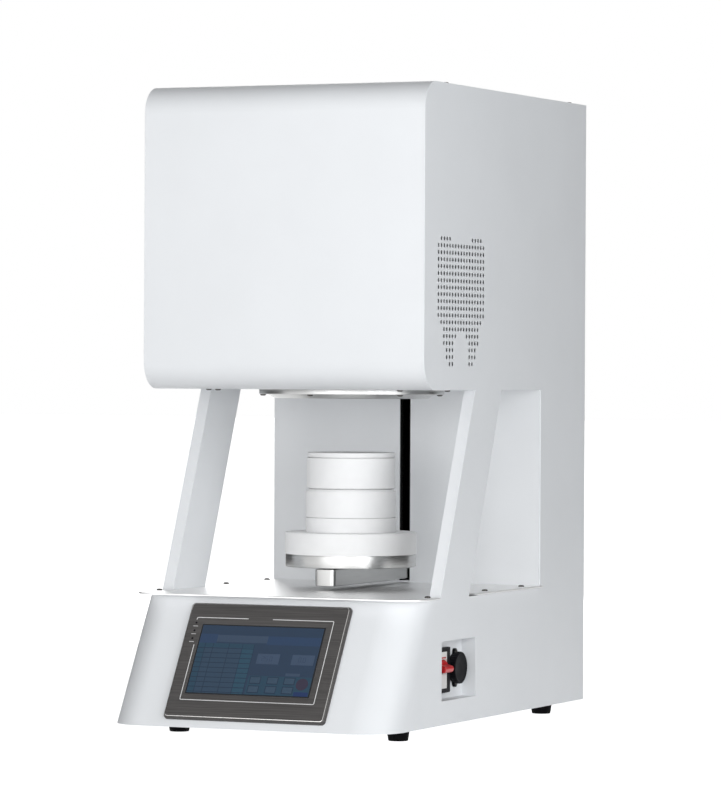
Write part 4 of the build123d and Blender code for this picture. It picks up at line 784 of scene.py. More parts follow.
def bezel_marks():
    """White line round the screen, broken above it and beside the three lamps, and a dash under each lamp."""
    left, right, low, high = BEZEL_LINE_LEFT, BEZEL_LINE_RIGHT, BEZEL_LINE_LOW, BEZEL_LINE_HIGH
    start, below = left + LINE_STEP_IN, LAMP_UPS[-1] - LINE_BELOW_LAMPS
    long_run = eased([(start, below), (start, low), (right, low), (right, high), (BEZEL_LINE_GAP[1], high)],
                     LINE_CORNER)
    short_run = eased([(BEZEL_LINE_GAP[0], high), (left, high), (left, high - LINE_TAIL)], LINE_CORNER)
    shapes = [ribbon(run, BEZEL_LINE_WIDTH, PRINT_RISE) for run in (long_run, short_run)]
    for up in LAMP_UPS:
        dash = np.array([(LAMP_X - DASH_HALF, up - DASH_DROP), (LAMP_X + DASH_HALF, up - DASH_DROP)])
        shapes.append(ribbon(dash, DASH_WIDTH, PRINT_RISE))
    shape = on_slope(join(*shapes), 0, 0, PANEL_PROUD)
    mesh_piece("bezel_line", *shape, "cabinet", WHITE_PRINT, slot="bezel_grey")


def status_lamps():
    """Three small domes: height falls off as the square of the way out."""
    out = np.linspace(1, 0, 5)
    profile = np.column_stack([LAMP_RADIUS * out, LAMP_RISE * (1 - out ** 2)])
    shapes = []
    for up in LAMP_UPS:
        points, faces = turned(profile, (0, 0, 0), LAMP_SEGMENTS)
        shapes.append((points + np.array([LAMP_X, up, 0]), faces))
    shape = on_slope(join(*shapes), 0, 0, PANEL_PROUD)
    mesh_piece("status_lamps", *shape, "cabinet", BLACK_PLASTIC, slot="bezel_grey")


NIGHT = (0.019, 0.042, 0.083)
BAR = (0.021, 0.050, 0.112)
FIELD = (0.038, 0.066, 0.115)
TEAL = (0.017, 0.055, 0.095)
TEAL_LIGHT = (0.020, 0.068, 0.112)
CELL = (0.026, 0.056, 0.098)
BOX = (0.044, 0.074, 0.130)
BUTTON = (0.034, 0.068, 0.112)
RULE = (0.010, 0.028, 0.058)
DIGIT = (0.020, 0.042, 0.085)
STOP = (0.034, 0.028, 0.056)
DEEP = (0.010, 0.030, 0.110)
BORDER = (0.004, 0.007, 0.012)
TABLE_LEFT, TABLE_RIGHT = 0.0, 0.465
TABLE_TOP, TABLE_BOTTOM = 0.27, 1.0
TABLE_HEAD = 0.06
TABLE_COLUMNS = (0.0, 0.065, 0.13, 0.26, 0.37, 0.465)
TABLE_ROW_COUNT = 10
RULE_WIDTH = 0.0048
STOP_RADIUS = 7.6 * MM
STOP_PLACE = (0.42, -0.315)             # from the screen's middle, as shares of its size
STOP_SEGMENTS = 40
BORDER_U, BORDER_V = 0.010, 0.016
FIGURE_BAR = 0.16                       # a bar's width, of a figure's width
BAR_THICKER = 1.6                       # a level bar's thickness, of that
FIGURE_PITCH, POINT_PITCH = 1.55, 0.45  # room for a figure and for a point, of a figure's width
SEGMENTS_OF = {"0": "abcdef", "2": "abged", "5": "afgcd"}
SEGMENT_PLACES = {
    "a": (0, 0, 1, 0), "b": (1, 0, 1, 0.5), "c": (1, 0.5, 1, 1), "d": (0, 1, 1, 1), "e": (0, 0.5, 0, 1),
    "f": (0, 0, 0, 0.5), "g": (0, 0.5, 1, 0.5),
}


def digit_tiles(text, left, top, width, height):
    """Seven-segment figures as tiles; a point takes just under a third of a figure's room."""
    bar, tiles, x = width * FIGURE_BAR, [], left
    thick = bar * BAR_THICKER
    for figure in text:
        if figure == ".":
            tiles.append((x, top + height, x + bar, top + height + thick, DIGIT))
            x += width * POINT_PITCH
            continue
        for name in SEGMENTS_OF[figure]:
            u0, v0, u1, v1 = SEGMENT_PLACES[name]
            tiles.append((x + u0 * width, top + v0 * height, x + u1 * width + bar, top + v1 * height + thick,
                          DIGIT))
        x += width * FIGURE_PITCH
    return tiles


def screen_tiles():
    """Tiles (left, top, right, bottom, colour) of the display, as shares of its size, top ones last."""
    tiles = [(0, 0, 1, 1, NIGHT), (0, 0.14, 0.15, 0.27, BAR), (0.56, 0.15, 1, 0.27, BAR),
             (0.15, 0.15, 0.56, 0.25, FIELD)]
    tiles.append((TABLE_LEFT, TABLE_TOP, TABLE_RIGHT, TABLE_BOTTOM, TEAL))
    tiles.append((TABLE_COLUMNS[1], TABLE_TOP + TABLE_HEAD, TABLE_COLUMNS[4], TABLE_BOTTOM, CELL))
    tiles.append((TABLE_COLUMNS[4], TABLE_TOP + TABLE_HEAD, TABLE_COLUMNS[5], TABLE_BOTTOM, TEAL_LIGHT))
    for u in TABLE_COLUMNS[1:]:
        tiles.append((u - RULE_WIDTH / 2, TABLE_TOP, u + RULE_WIDTH / 2, TABLE_BOTTOM, RULE))
    for row in range(1, TABLE_ROW_COUNT + 1):
        v = TABLE_TOP + (TABLE_BOTTOM - TABLE_TOP) * row / (TABLE_ROW_COUNT + 0.5)
        tiles.append((TABLE_LEFT, v - RULE_WIDTH, TABLE_RIGHT, v + RULE_WIDTH, RULE))
    tiles += [(0.51, 0.40, 0.69, 0.545, BOX), (0.79, 0.40, 0.97, 0.545, BOX)]
    tiles.append((0.77, 0.665, 0.885, 0.705, FIELD))
    for text, left in (("25.0", 0.548), ("0.0", 0.845)):
        tiles += digit_tiles(text, left, 0.437, 0.018, 0.062)
    tiles.append((0.48, 0.715, 1, 1, TEAL))
    for u in (0.50, 0.64, 0.775):
        for v in (0.735, 0.865):
            tiles.append((u - 0.006, v - 0.010, u + 0.084, v + 0.095, RULE))
            tiles.append((u, v, u + 0.078, v + 0.082, BUTTON))
    tiles.append((0.87, 0.925, 0.985, 1, DEEP))
    tiles += [(0, 0, BORDER_U, 1, BORDER), (1 - BORDER_U, 0, 1, 1, BORDER), (0, 0, 1, BORDER_V, BORDER),
              (0, 1 - BORDER_V, 1, 1, BORDER)]
    return tiles


def display():
    """Glass of the display: a grid on the tiles' edges, whose cells each take the top tile's colour.

    A skirt below gives the glass its thickness, and a disc over the grid is the round stop button.
    """
    tiles = screen_tiles()
    us = np.unique(np.round([u for tile in tiles for u in tile[0:4:2]], 5))
    vs = np.unique(np.round([v for tile in tiles for v in tile[1:4:2]], 5))
    centre_u, centre_v = (us[1:] + us[:-1]) / 2, (vs[1:] + vs[:-1]) / 2
    colours = np.zeros((len(centre_u), len(centre_v), 3))
    for left, top, right, bottom, colour in tiles:
        hit = np.outer((centre_u > left) & (centre_u < right), (centre_v > top) & (centre_v < bottom))
        colours[hit] = colour
    u, v = np.meshgrid(us, vs, indexing="ij")
    x, up = (u - 0.5) * SCREEN_WIDTH, (0.5 - v) * SCREEN_HEIGHT
    face_points = np.stack([x, up, np.full_like(x, GLASS)], -1).reshape(-1, 3)
    skirt = slab(SCREEN_WIDTH, SCREEN_HEIGHT, GLASS - 0.05 * MM, SCREEN_CORNER, 0.02 * MM, 2)
    angle = np.linspace(0, 2 * pi, STOP_SEGMENTS, endpoint=False)
    ring = np.column_stack([STOP_PLACE[0] * SCREEN_WIDTH + STOP_RADIUS * np.cos(angle),
                            STOP_PLACE[1] * SCREEN_HEIGHT + STOP_RADIUS * np.sin(angle),
                            np.full(STOP_SEGMENTS, GLASS + 0.02 * MM)])
    quads = grid_faces(len(us), len(vs))[:, ::-1]
    points = np.concatenate([face_points, skirt[0], ring])
    skirt_start, ring_start = len(face_points), len(face_points) + len(skirt[0])
    faces = quads.tolist() + [[skirt_start + k for k in face] for face in skirt[1]]
    faces.append([ring_start + k for k in range(STOP_SEGMENTS)])
    shape = on_slope((points, faces), SCREEN_X, PANEL_UP + SCREEN_UP, PANEL_PROUD - SCREEN_DEPTH)
    mesh = bpy.data.meshes.new("display_glass")
    mesh.from_pydata(shape[0].tolist(), [], shape[1])
    layer = mesh.color_attributes.new("picture", "FLOAT_COLOR", "CORNER")
    per_face = np.concatenate([colours.reshape(-1, 3), np.tile(RULE, (len(skirt[1]), 1)), [STOP]])
    sizes = np.array([len(face) for face in shape[1]])
    corner_colours = np.column_stack([np.repeat(per_face, sizes, axis=0), np.ones(sizes.sum())])
    layer.data.foreach_set("color", corner_colours.ravel())
    mesh.materials.append(DISPLAY)
    glass = bpy.data.objects.new("display_glass", mesh)
    bpy.context.scene.collection.objects.link(glass)
    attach(glass, "cabinet")
    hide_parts("panel_screen")


# ---------------------------------------------------------------- hearth, crucibles and chamber mouth

CUP_WALL = 8.0 * MM
CUP_FLOOR = 8.0 * MM
STEP_RISE = 2.5 * MM
STEP_GAP = 0.5 * MM
CHAMFER = 3.4 * MM
TOP_CHAMFER = 2.4 * MM
LOW_CHAMFER = 1.4 * MM
SEAM = 0.6 * MM
GAP_DEPTH = 3.0 * MM
ARM_ROUND = 5.5 * MM
TONGUE_WIDTH = 10.5 * MM
TONGUE_HOLD = 34.0 * MM
SPACER_PITCH = 52.0 * MM
LID_GAP = 0.9 * MM
CUP_GAP = 0.5 * MM
SOFT_EDGE = 0.5 * MM
STEP_EDGE = 0.4 * MM
GAP_EDGE = 0.2 * MM
PLUG_EDGE = 1.6 * MM
LID_EDGE = 1.0 * MM
CUP_FILLET = 2.0 * MM
TRAY_GROOVE = 1.0 * MM
TRAY_GROOVE_DEPTH = 1.2 * MM
TRAY_LOW_EDGE = 0.9 * MM
TRAY_TOP_EDGE = 0.35 * MM
ARM_HOLE = 1.9 * MM
ARM_HOLE_SEGMENTS = 20
ARM_ROUND_STEPS = 12
MOUTH_BORE = 82.0 * MM
MOUTH_SEGMENTS = 160
FLANGE_LOW_EDGE = 0.8 * MM
FLANGE_TOP_EDGE = 0.3 * MM
COLLAR_FOOT = 92.0 * MM
COLLAR_BULGE = (1.6 * MM, 0.2 * MM)     # from the collar's foot, out and up to the point its sweep bends to
COLLAR_STEPS = 10


def radius_of(node):
    return (high_of(node)[0] - low_of(node)[0]) / 2


def turned_size(node):
    """Lowest and highest level of a turned part, and its radius."""
    return low_of(node)[2], high_of(node)[2], radius_of(node)


def stack_piece(name, corners, radii, body, finish, node, slot):
    """Turned piece on the chamber's axis from (radius, height) corners, each eased by its own radius."""
    shape = turned(eased(corners, radii), (0, CHAMBER_Y, 0))
    mesh_piece(name, *shape, body, finish, [node], slot, TURNED_SMOOTH)


def crucible_stack():
    """Plug, pedestal, two cups and a lid, each seated on the one below by a low step.

    Under each cup and under the lid a narrow gap runs round, GAP_DEPTH deep, that shows as a dark seam.
    """
    z0, z1, r = turned_size("hearth_plug")
    stack_piece("hearth_plug_fibre", [(0, z0), (r, z0), (r, z1), (0, z1)], [0, SOFT_EDGE, PLUG_EDGE, 0],
                "lift", FIBRE, "hearth_plug", "fibre_ceramic")

    cup_radius = radius_of("lower_crucible")
    step = cup_radius - CUP_WALL - STEP_GAP
    z0, z1, r = turned_size("pedestal")
    z1 -= STEP_RISE
    corners = [(0, z0), (r, z0), (r, z1 - SEAM), (r - SEAM, z1), (step, z1), (step, z1 + STEP_RISE),
               (0, z1 + STEP_RISE)]
    stack_piece("pedestal_disc", corners, [0, SOFT_EDGE, 0, 0, 0, STEP_EDGE, 0], "lift", CERAMIC, "pedestal",
                "dense_ceramic")

    z0, z1, r = turned_size("lower_crucible")
    roof = z0 + STEP_RISE + STEP_GAP
    floor = roof + CUP_FLOOR
    inner = r - CUP_WALL
    corners = [(0, roof), (inner, roof), (inner, z0), (r - GAP_DEPTH, z0), (r - GAP_DEPTH, z0 + CUP_GAP),
               (r, z0 + CUP_GAP), (r, z1 - TOP_CHAMFER), (r - CHAMFER, z1), (inner, z1), (inner, floor),
               (0, floor)]
    radii = [0, STEP_EDGE, 0, 0, 0, GAP_EDGE, SOFT_EDGE, 0, SOFT_EDGE, CUP_FILLET, 0]
    stack_piece("lower_cup", corners, radii, "lower_crucible_body", CERAMIC, "lower_crucible",
                "dense_ceramic")

    z0, z1, r = turned_size("upper_crucible")
    z0 += STEP_RISE
    inner, floor = r - CUP_WALL, z0 + CUP_FLOOR
    gap_end = r - CHAMFER - GAP_DEPTH
    corners = [(0, z0 - STEP_RISE), (step, z0 - STEP_RISE), (step, z0), (gap_end, z0),
               (gap_end, z0 + CUP_GAP), (r - CHAMFER, z0 + CUP_GAP), (r, z0 + CUP_GAP + LOW_CHAMFER),
               (r, z1 - SEAM), (r - SEAM, z1), (inner, z1), (inner, floor), (0, floor)]
    radii = [0, STEP_EDGE, 0, 0, 0, 0, SOFT_EDGE, 0, 0, SOFT_EDGE, CUP_FILLET, 0]
    stack_piece("upper_cup", corners, radii, "upper_crucible_body", CERAMIC, "upper_crucible",
                "dense_ceramic")

    lid_step = r - CUP_WALL - STEP_GAP
    z0, z1, r = turned_size("crucible_lid")
    z0 += STEP_RISE
    corners = [(0, z0 - STEP_RISE), (lid_step, z0 - STEP_RISE), (lid_step, z0), (r - GAP_DEPTH, z0),
               (r - GAP_DEPTH, z0 + LID_GAP), (r, z0 + LID_GAP), (r, z1), (0, z1)]
    radii = [0, STEP_EDGE, 0, 0, 0, SOFT_EDGE, LID_EDGE, 0]
    stack_piece("lid_disc", corners, radii, "lid_body", CERAMIC, "crucible_lid", "dense_ceramic")


def hearth_tray():
    """Turned tray with a narrow groove under the plug."""
    z0, z1, r = turned_size("lift_tray")
    lip, neck = z1 - TRAY_GROOVE, r - TRAY_GROOVE_DEPTH
    corners = [(0, z0), (r, z0), (r, lip), (neck, lip), (neck, z1), (0, z1)]
    stack_piece("hearth_tray", corners, [0, TRAY_LOW_EDGE, TRAY_TOP_EDGE, 0, 0, 0], "lift", TURNED_STEEL,
                "lift_tray", "stainless_polished")


def arm_bar():
    """Flat bar under the tray: rounded at the front, slotted at the rear for the tongue, edges eased."""
    low, high = low_of("lift_arm"), high_of("lift_arm")
    w, front, rear = high[0], low[1], high[1]
    tongue = TONGUE_WIDTH / 2
    slot_end = rear - TONGUE_HOLD
    corners = [(w, rear), (tongue, rear), (tongue, slot_end), (-tongue, slot_end), (-tongue, rear),
               (-w, rear), (-w, front), (w, front), (w, rear)]
    outline = eased(corners, [0, 0, 0, 0, 0, 0, ARM_ROUND, ARM_ROUND, 0], ARM_ROUND_STEPS)[:-1]
    holes = [circle_loop((0, CHAMBER_Y + side * SPACER_PITCH), ARM_HOLE, ARM_HOLE_SEGMENTS, clockwise=True)
             for side in (-1, 1)]
    points, faces = sheet_shape([outline] + holes, high[2] - low[2], SOFT_EDGE)
    mesh_piece("arm_bar", points + (0, 0, low[2]), faces, "lift", ARM_STEEL, ["lift_arm"],
               "stainless_polished", TURNED_SMOOTH)


def mouth_rings():
    """Flange on the head's floor and the pressed collar below it, both round the chamber's mouth.

    The collar's outside is a quadratic curve: (1 - t)^2 start + 2 t (1 - t) bulge + t^2 end.
    """
    z0, z1, r = turned_size("mouth_flange")
    corners = [(MOUTH_BORE, z1), (MOUTH_BORE, z0), (r, z0), (r, z1), (MOUTH_BORE, z1)]
    flange = eased(corners, [0, 0, FLANGE_LOW_EDGE, FLANGE_TOP_EDGE, 0])
    z0, z1, r = turned_size("mouth_collar")
    t = np.linspace(0, 1, COLLAR_STEPS)[:, None]
    start, end = np.array((r, z1)), np.array((COLLAR_FOOT, z0))
    bulge = end + COLLAR_BULGE
    sweep = (1 - t) ** 2 * start + 2 * t * (1 - t) * bulge + t ** 2 * end
    collar = np.concatenate([sweep, [(MOUTH_BORE, z0), (MOUTH_BORE, z1), (r, z1)]])
    for name, profile, node in (("mouth_flange_ring", flange, "mouth_flange"),
                                ("mouth_collar_ring", collar, "mouth_collar")):
        mesh_piece(name, *turned(profile, (0, CHAMBER_Y, 0), MOUTH_SEGMENTS), "cabinet", TURNED_STEEL, [node],
                   "stainless_polished", TURNED_SMOOTH)


# ---------------------------------------------------------------- breaker and power inlet

LEVER_DRUM = 8.0 * MM
LEVER_HALF_THICK = 4.0 * MM
LEVER_REACH = 15.5 * MM
LEVER_TIP = 3.2 * MM
LEVER_OFF = radians(14.0)
RIB_COUNT = 36
RIB_DEPTH = 0.5 * MM
EAR_REACH = 18.3 * MM
LEVER_GAP = 0.5 * MM
COVER_BAND = 5.2 * MM
COVER_PROUD = 0.4 * MM
COVER_CORNER = 1.5 * MM
COVER_EASE = 0.6 * MM
LEVER_EASE = 0.7 * MM
LEVER_DRUM_STEPS = 28
MARK_SIZE = (20.0 * MM, 1.8 * MM)
MARK_UP = 14.5 * MM                     # above the middle of the breaker's frame
CAP_BORE = 15.3 * MM
CAP_HOLLOW = 4.0 * MM
CAP_RIM = (2.2 * MM, 2.8 * MM)          # in from the edge: the rim's flat ends, and the sunk face starts
CAP_SINK = 0.35 * MM
CAP_EDGES = (0, 0.2 * MM, 0.2 * MM, 0.4 * MM, 0.9 * MM, 0.2 * MM, 0.2 * MM, 0)
CAP_EDGE_STEPS = 5
GRIP_FADE = 1.2 * MM
EAR_SCREW_SHARE = 0.8                   # these heads against the cabinet's
EAR_SINK = 0.3 * MM


def breaker_cover():
    """Black cover round the lever: it hides the breaker's face on both sides, and not above and below."""
    low, high = low_of("breaker_frame"), high_of("breaker_frame")
    lever_low, lever_high = low_of("breaker_lever")[1], high_of("breaker_lever")[1]
    outer = rounded_loop(high[1] - low[1], high[2] - low[2], COVER_CORNER) + (low + high)[1:] / 2
    y0, y1 = lever_low - LEVER_GAP, lever_high + LEVER_GAP
    z0, z1 = low[2] + COVER_BAND, high[2] - COVER_BAND
    hole = np.array([(y0, z0), (y0, z1), (y1, z1), (y1, z0)])
    thickness = high_of("breaker_body")[0] + COVER_PROUD - low[0]
    shape = on_side(sheet_shape([outer, hole], thickness, COVER_EASE), low[0])
    mesh_piece("breaker_cover", *shape, "cabinet", BLACK_PLASTIC, ["breaker_frame"], "plastic_black",
               SHEET_SMOOTH)


def breaker_lever_bar():
    """Round drum whose sides run on as a flat handle with a rounded tip, drooping in the OFF position."""
    low, high = low_of("breaker_lever"), high_of("breaker_lever")
    pivot_x, pivot_z = low[0] + LEVER_DRUM, high[2] - LEVER_DRUM
    meet = np.arcsin(LEVER_HALF_THICK / LEVER_DRUM)
    angle = np.linspace(meet, 2 * pi - meet, LEVER_DRUM_STEPS)
    drum = LEVER_DRUM * np.column_stack([np.cos(angle), np.sin(angle)])
    tip = [(LEVER_REACH, -LEVER_HALF_THICK), (LEVER_REACH, LEVER_HALF_THICK)]
    handle = eased([drum[-1], *tip, drum[0]], LEVER_TIP)
    outline = np.concatenate([drum, handle[1:-1]])
    points, faces = sheet_shape([outline], high[1] - low[1], LEVER_EASE)
    along, rise, across = points.T
    x = pivot_x + along * cos(LEVER_OFF) + rise * sin(LEVER_OFF)
    z = pivot_z - along * sin(LEVER_OFF) + rise * cos(LEVER_OFF)
    mesh_piece("breaker_lever_bar", np.column_stack([x, low[1] + across, z]), faces, "breaker_lever_body",
               RED_PLASTIC, ["breaker_lever"], "plastic_red", SHEET_SMOOTH)


def breaker_marks():
    """Red bar printed near the top of the breaker's face."""
    y, z = middle_of("breaker_frame")[1:]
    bar = slab(*MARK_SIZE, PRINT_RISE, 0.3 * MM, 0.02 * MM, 2)
    points, faces = on_side(bar, high_of("breaker_body")[0])
    mesh_piece("breaker_mark", points + (0, y, z + MARK_UP), faces, "cabinet", RED_PLASTIC,
               slot="plastic_white")


def cap_shell():
    """Screw cap: rings from its hollow to its face; the grip dips in between the ribs as a cosine squared."""
    low, high = low_of("inlet_cap"), high_of("inlet_cap")
    radius, height = (high[1] - low[1]) / 2, high[0] - low[0]
    flat_end, face_start = CAP_RIM
    corners = [(0, CAP_HOLLOW), (CAP_BORE, CAP_HOLLOW), (CAP_BORE, 0), (radius, 0), (radius, height),
               (radius - flat_end, height), (radius - face_start, height - CAP_SINK), (0, height - CAP_SINK)]
    profile = eased(corners, CAP_EDGES, CAP_EDGE_STEPS)
    segments = RIB_COUNT * 6
    points, faces = turned(profile, (0, 0, 0), segments)
    angle = np.repeat(np.arange(segments) * 2 * pi / segments, len(profile))
    out = np.hypot(points[:, 0], points[:, 1])
    grip = np.clip((out - radius + GRIP_FADE) / GRIP_FADE, 0, 1)
    dip = 1 - grip * RIB_DEPTH / radius * np.cos(angle * RIB_COUNT / 2) ** 2
    points = points * np.column_stack([dip, dip, np.ones_like(dip)])
    seat = (low[0], *middle_of("inlet_cap")[1:])
    mesh_piece("inlet_cap_shell", *along_x((points, faces), seat), "inlet_cap_body", BLACK_PLASTIC,
               ["inlet_cap"], "plastic_black", SHEET_SMOOTH)


def ear_screws():
    """Button heads on the inlet flange's two ears."""
    _, y, z = middle_of("inlet_cap")
    face_x = low_of("inlet_cap")[0] - EAR_SINK
    points, faces = button_head()
    head = points * EAR_SCREW_SHARE, faces
    shapes = [along_x(head, (face_x, y, z + side * EAR_REACH)) for side in (-1, 1)]
    mesh_piece("inlet_ear_screws", *join(*shapes), "cabinet", SCREW_STEEL, slot="plastic_black",
               smooth=TURNED_SMOOTH)


# ---------------------------------------------------------------- screws and feet

HEAD_RADIUS = 3.6 * MM
HEAD_HEIGHT = 2.0 * MM
SOCKET = 1.15 * MM
SOCKET_DEPTH = 1.1 * MM
SCREW_SEGMENTS = 24
HEAD_EDGE = 0.5 * MM                    # straight side below the dome
HEAD_FLAT = 1.7 * MM                    # the dome ends at this radius, round the socket
DOME_FALL = 1.6                         # power of the way in by which the dome narrows
SOCKET_TAPER = 0.96
SOCKET_POINT = 1.15                     # the drilled middle is this much deeper than the socket
SHANK_LONGER = 1.05                     # a screw this many times longer along Y than along X lies along Y
UNDER_HEAD = 12.0 * MM                  # screws that start this close below the head point up into it
DOME_STEPS = 5
FOOT_SEGMENTS = 48
FOOT_TAPER = 2.5 * MM
FOOT_HOLLOW = 5.5 * MM
FOOT_HOLLOW_DEPTH = 8.0 * MM
FOOT_EDGES = (0, 0.8 * MM, 1.4 * MM, 0.5 * MM, 0.5 * MM, 0)


def button_head():
    """Button head with a hexagon socket: rings fall from the dome into a hexagon and down to its floor.

    The socket's radius at an angle is its half width over the cosine of the angle from the nearest flat.
    """
    angle = np.arange(SCREW_SEGMENTS) * 2 * pi / SCREW_SEGMENTS
    hexagon = SOCKET / np.cos((angle % (pi / 3)) - pi / 6)
    out = np.linspace(0, 1, DOME_STEPS)
    dome_r = HEAD_RADIUS - (HEAD_RADIUS - HEAD_FLAT) * out ** DOME_FALL
    dome_z = HEAD_EDGE + (HEAD_HEIGHT - HEAD_EDGE) * np.sin(out * pi / 2)
    even = np.ones_like(angle)
    radii = [0 * even, HEAD_RADIUS * even] + [r * even for r in dome_r]
    radii += [hexagon, hexagon * SOCKET_TAPER, 0 * even]
    levels = [0, 0, *dome_z, HEAD_HEIGHT, HEAD_HEIGHT - SOCKET_DEPTH,
              HEAD_HEIGHT - SOCKET_DEPTH * SOCKET_POINT]
    radii = np.array(radii).T
    x, y = radii * np.cos(angle)[:, None], radii * np.sin(angle)[:, None]
    z = np.broadcast_to(levels, x.shape)
    return np.stack([x, y, z], -1).reshape(-1, 3), grid_faces(SCREW_SEGMENTS, len(levels), wrap_rows=True)


def solids_of(node):
    """Lowest and highest corner of each separate solid of a part, from its mesh's connected pieces."""
    work = bmesh.new()
    work.from_mesh(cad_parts[node].data)
    bmesh.ops.remove_doubles(work, verts=work.verts, dist=NODE_MERGE)
    seen, boxes = set(), []
    for vert in work.verts:
        if vert in seen:
            continue
        group, queue = [], [vert]
        seen.add(vert)
        while queue:
            here = queue.pop()
            group.append(here.co)
            for edge in here.link_edges:
                other = edge.other_vert(here)
                if other not in seen:
                    seen.add(other)
                    queue.append(other)
        group = np.array(group)
        boxes.append((group.min(0), group.max(0)))
    work.free()
    return boxes


def screws():
    """A socket head over every screw; each faces away from its shank."""
    points, faces = button_head()
    x, y, z = points.T
    to_the_rear, downward = np.stack([x, z, -y], -1), np.stack([x, -y, -z], -1)
    for node, name in (("deck_screws", "deck_screw_heads"), ("cabinet_screws", "cabinet_screw_heads")):
        shapes = []
        for low, high in solids_of(node):
            middle, size = (low + high) / 2, high - low
            under_the_base = abs(low[2] - UNDERSIDE + HEAD_HEIGHT) < MM
            if size[1] > size[0] * SHANK_LONGER:
                shapes.append((to_the_rear + (middle[0], high[1] - HEAD_HEIGHT, middle[2]), faces))
            elif under_the_base or HEAD_LOW - UNDER_HEAD < low[2] < HEAD_LOW:
                shapes.append((downward + (middle[0], middle[1], low[2] + HEAD_HEIGHT), faces))
            else:
                shapes.append((points + (middle[0], middle[1], high[2] - HEAD_HEIGHT), faces))
        mesh_piece(name, *join(*shapes), "cabinet", SCREW_STEEL, [node], "screw_steel", TURNED_SMOOTH)


def feet():
    """Tapered rubber feet, hollow below."""
    shapes = []
    for low, high in solids_of("rubber_feet"):
        x, y, _ = (low + high) / 2
        r, hollow_top = (high[0] - low[0]) / 2, low[2] + FOOT_HOLLOW_DEPTH
        corners = [(0, high[2]), (r, high[2]), (r - FOOT_TAPER, low[2]), (FOOT_HOLLOW, low[2]),
                   (FOOT_HOLLOW, hollow_top), (0, hollow_top)]
        shapes.append(turned(eased(corners, FOOT_EDGES), (x, y, 0), FOOT_SEGMENTS))
    mesh_piece("foot_rubbers", *join(*shapes), "cabinet", RUBBER, ["rubber_feet"], "rubber_black",
               TURNED_SMOOTH)


# ---------------------------------------------------------------- studio

FLOOR_REACH = 30.0
FLOOR_LIFT = 0.80                       # strength of the floor's own white, which diffuse rays don't see
AMBIENT = 0.50
CAMERA_PLACE = (2.1091, -4.6606, 0.4259)
CAMERA_YAW = radians(24.256)
CAMERA_PITCH = radians(-0.391)
CAMERA_ROLL = radians(0.281)
CAMERA_LENS = 191.03

WHITE_LIGHT = (1.0, 1.0, 1.0)
COOL_LIGHT = (0.965, 0.985, 1.0)
# name, degrees round, metres out and up, (width, height) in metres, watts, colour
SOFTBOXES = (
    ("front_softbox", -8, 2.6, 0.74, (1.8, 1.4), 12.0, WHITE_LIGHT),
    ("right_softbox", 64, 2.6, 0.80, (1.9, 1.5), 25.5, COOL_LIGHT),
    ("low_fill", 24, 2.6, 0.42, (2.6, 0.8), 12.5, WHITE_LIGHT),
    ("rear_softbox", 196, 2.8, 1.0, (1.8, 1.6), 24.0, WHITE_LIGHT),
)


def make_camera():
    """Camera at eye level, turned to the right side of the furnace."""
    ahead = np.array([-sin(CAMERA_YAW) * cos(CAMERA_PITCH), cos(CAMERA_YAW) * cos(CAMERA_PITCH),
                      sin(CAMERA_PITCH)])
    level = np.array([cos(CAMERA_YAW), sin(CAMERA_YAW), 0.0])
    upright = np.cross(level, ahead)
    right = cos(CAMERA_ROLL) * level + sin(CAMERA_ROLL) * upright
    up = -sin(CAMERA_ROLL) * level + cos(CAMERA_ROLL) * upright
    lens = bpy.data.cameras.new("camera")
    lens.lens = CAMERA_LENS
    lens.sensor_width = 36.0
    lens.clip_end = 100.0
    camera = bpy.data.objects.new("camera", lens)
    turn = Matrix(np.column_stack([right, up, -ahead])).to_4x4()
    camera.matrix_world = Matrix.Translation(CAMERA_PLACE) @ turn
    bpy.context.scene.collection.objects.link(camera)
    bpy.context.scene.camera = camera


def seen_directly(tree):
    """1 for rays from the camera and for those that gloss or glass sends on, 0 for diffuse light."""
    path = tree.nodes.new("ShaderNodeLightPath")
    total = path.outputs["Is Camera Ray"]
    for name in ("Is Glossy Ray", "Is Transmission Ray"):
        most = tree.nodes.new("ShaderNodeMath")
        most.operation = "MAXIMUM"
        tree.links.new(total, most.inputs[0])
        tree.links.new(path.outputs[name], most.inputs[1])
        total = most.outputs["Value"]
    return total


def make_world(ambient):
    """White surroundings to the eye and in reflections; a lower even light on the object."""
    world = bpy.data.worlds.new("studio")
    bpy.context.scene.world = world
    world.use_nodes = True
    tree = world.node_tree
    tree.nodes.clear()
    out = tree.nodes.new("ShaderNodeOutputWorld")
    light = tree.nodes.new("ShaderNodeBackground")
    light.inputs["Color"].default_value = (0.97, 0.985, 1.0, 1.0)
    light.inputs["Strength"].default_value = ambient
    white = tree.nodes.new("ShaderNodeBackground")
    white.inputs["Strength"].default_value = 1.0
    white.inputs["Color"].default_value = (1.0, 1.0, 1.0, 1.0)
    mix = tree.nodes.new("ShaderNodeMixShader")
    tree.links.new(seen_directly(tree), mix.inputs["Fac"])
    tree.links.new(light.outputs[0], mix.inputs[1])
    tree.links.new(white.outputs[0], mix.inputs[2])
    tree.links.new(mix.outputs[0], out.inputs["Surface"])


def board(name, half_x, half_y):
    """Flat rectangle about the origin, facing up."""
    mesh = bpy.data.meshes.new(name)
    mesh.from_pydata([(-half_x, -half_y, 0), (half_x, -half_y, 0), (half_x, half_y, 0), (-half_x, half_y, 0)],
                     [], [(0, 1, 2, 3)])
    rectangle = bpy.data.objects.new(name, mesh)
    bpy.context.scene.collection.objects.link(rectangle)
    return rectangle


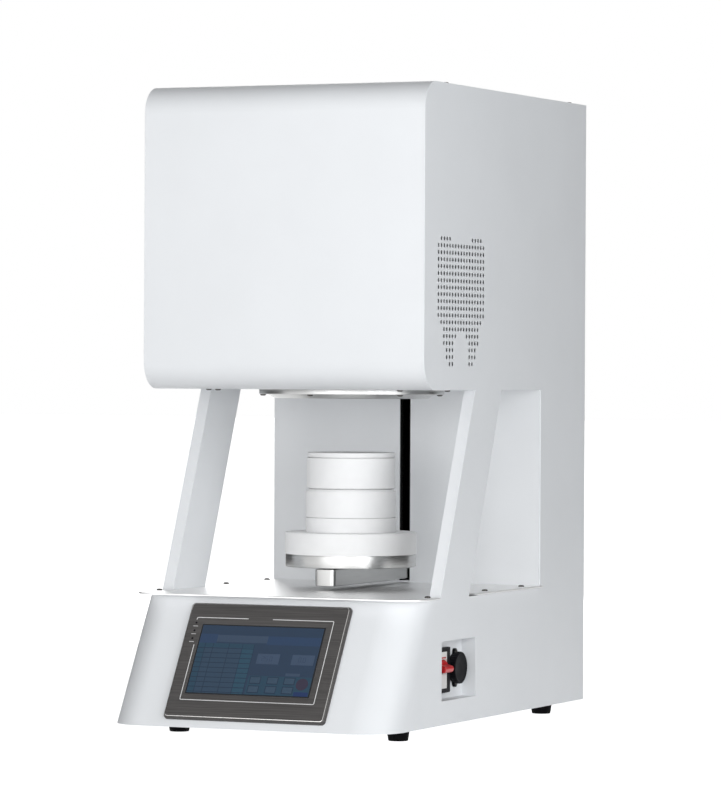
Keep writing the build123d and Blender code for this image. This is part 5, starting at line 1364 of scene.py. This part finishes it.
def make_floor():
    """Plain pale floor that looks white to the camera except in the object's shadow."""
    floor = board("floor", FLOOR_REACH, FLOOR_REACH)
    material, tree, shader = new_finish("floor_white", (0.90, 0.90, 0.90), 0.9, specular=0.1)
    shader.inputs["Emission Color"].default_value = (1.0, 1.0, 1.0, 1.0)
    lift = tree.nodes.new("ShaderNodeMath")
    lift.operation = "MULTIPLY"
    lift.inputs[1].default_value = FLOOR_LIFT
    tree.links.new(seen_directly(tree), lift.inputs[0])
    tree.links.new(lift.outputs["Value"], shader.inputs["Emission Strength"])
    floor.data.materials.append(material)


def compass(azimuth, distance, height):
    """Place at that distance from the object's axis; 0 degrees is straight in front and 90 its right side."""
    return Vector((distance * sin(radians(azimuth)), -distance * cos(radians(azimuth)), height))


def facing(place, aim):
    """Turn that points an object's -Z axis from its place to the aim."""
    return (Vector(aim) - place).to_track_quat("-Z", "Y").to_euler()


def softbox(name, place, size, power, colour):
    """Large rectangular lamp turned to the middle of the object."""
    lamp = bpy.data.lights.new(name, "AREA")
    lamp.shape = "RECTANGLE"
    lamp.size, lamp.size_y = size
    lamp.energy = power
    lamp.color = colour
    box = bpy.data.objects.new(name, lamp)
    box.location = place
    box.rotation_euler = facing(place, (0, 0, TOP / 2))
    box.visible_camera = False
    bpy.context.scene.collection.objects.link(box)


def dark_card(name, place, size, aim):
    """Board that keeps light off one side and gives metal something dark to reflect.

    The camera looks past it.
    """
    card = board(name, size[0] / 2, size[1] / 2)
    card.data.materials.append(CARD_GREY)
    card.location = place
    card.rotation_euler = facing(place, aim)
    card.visible_camera = False


def make_studio():
    """Camera, white surroundings and floor, four soft lamps and three dark cards."""
    make_camera()
    make_world(AMBIENT)
    make_floor()
    for name, azimuth, distance, height, size, power, colour in SOFTBOXES:
        softbox(name, compass(azimuth, distance, height), size, power, colour)
    middle = (0, 0, TOP / 2)
    dark_card("left_card", compass(-104, 1.7, 0.8), (2.7, 1.6), middle)
    dark_card("right_card", compass(128, 1.7, 0.8), (2.8, 1.6), middle)
    dark_card("ceiling_card", Vector((0, 0.2, 2.3)), (2.6, 2.6), (0, 0.2, 0))
    bpy.context.scene.view_settings.view_transform = "Standard"


dress_parts()
side_sheets()
deck()
bezel()
bezel_highlight_strip()
bezel_marks()
status_lamps()
display()
crucible_stack()
hearth_tray()
arm_bar()
mouth_rings()
screws()
feet()
breaker_cover()
breaker_lever_bar()
breaker_marks()
cap_shell()
ear_screws()
make_studio()
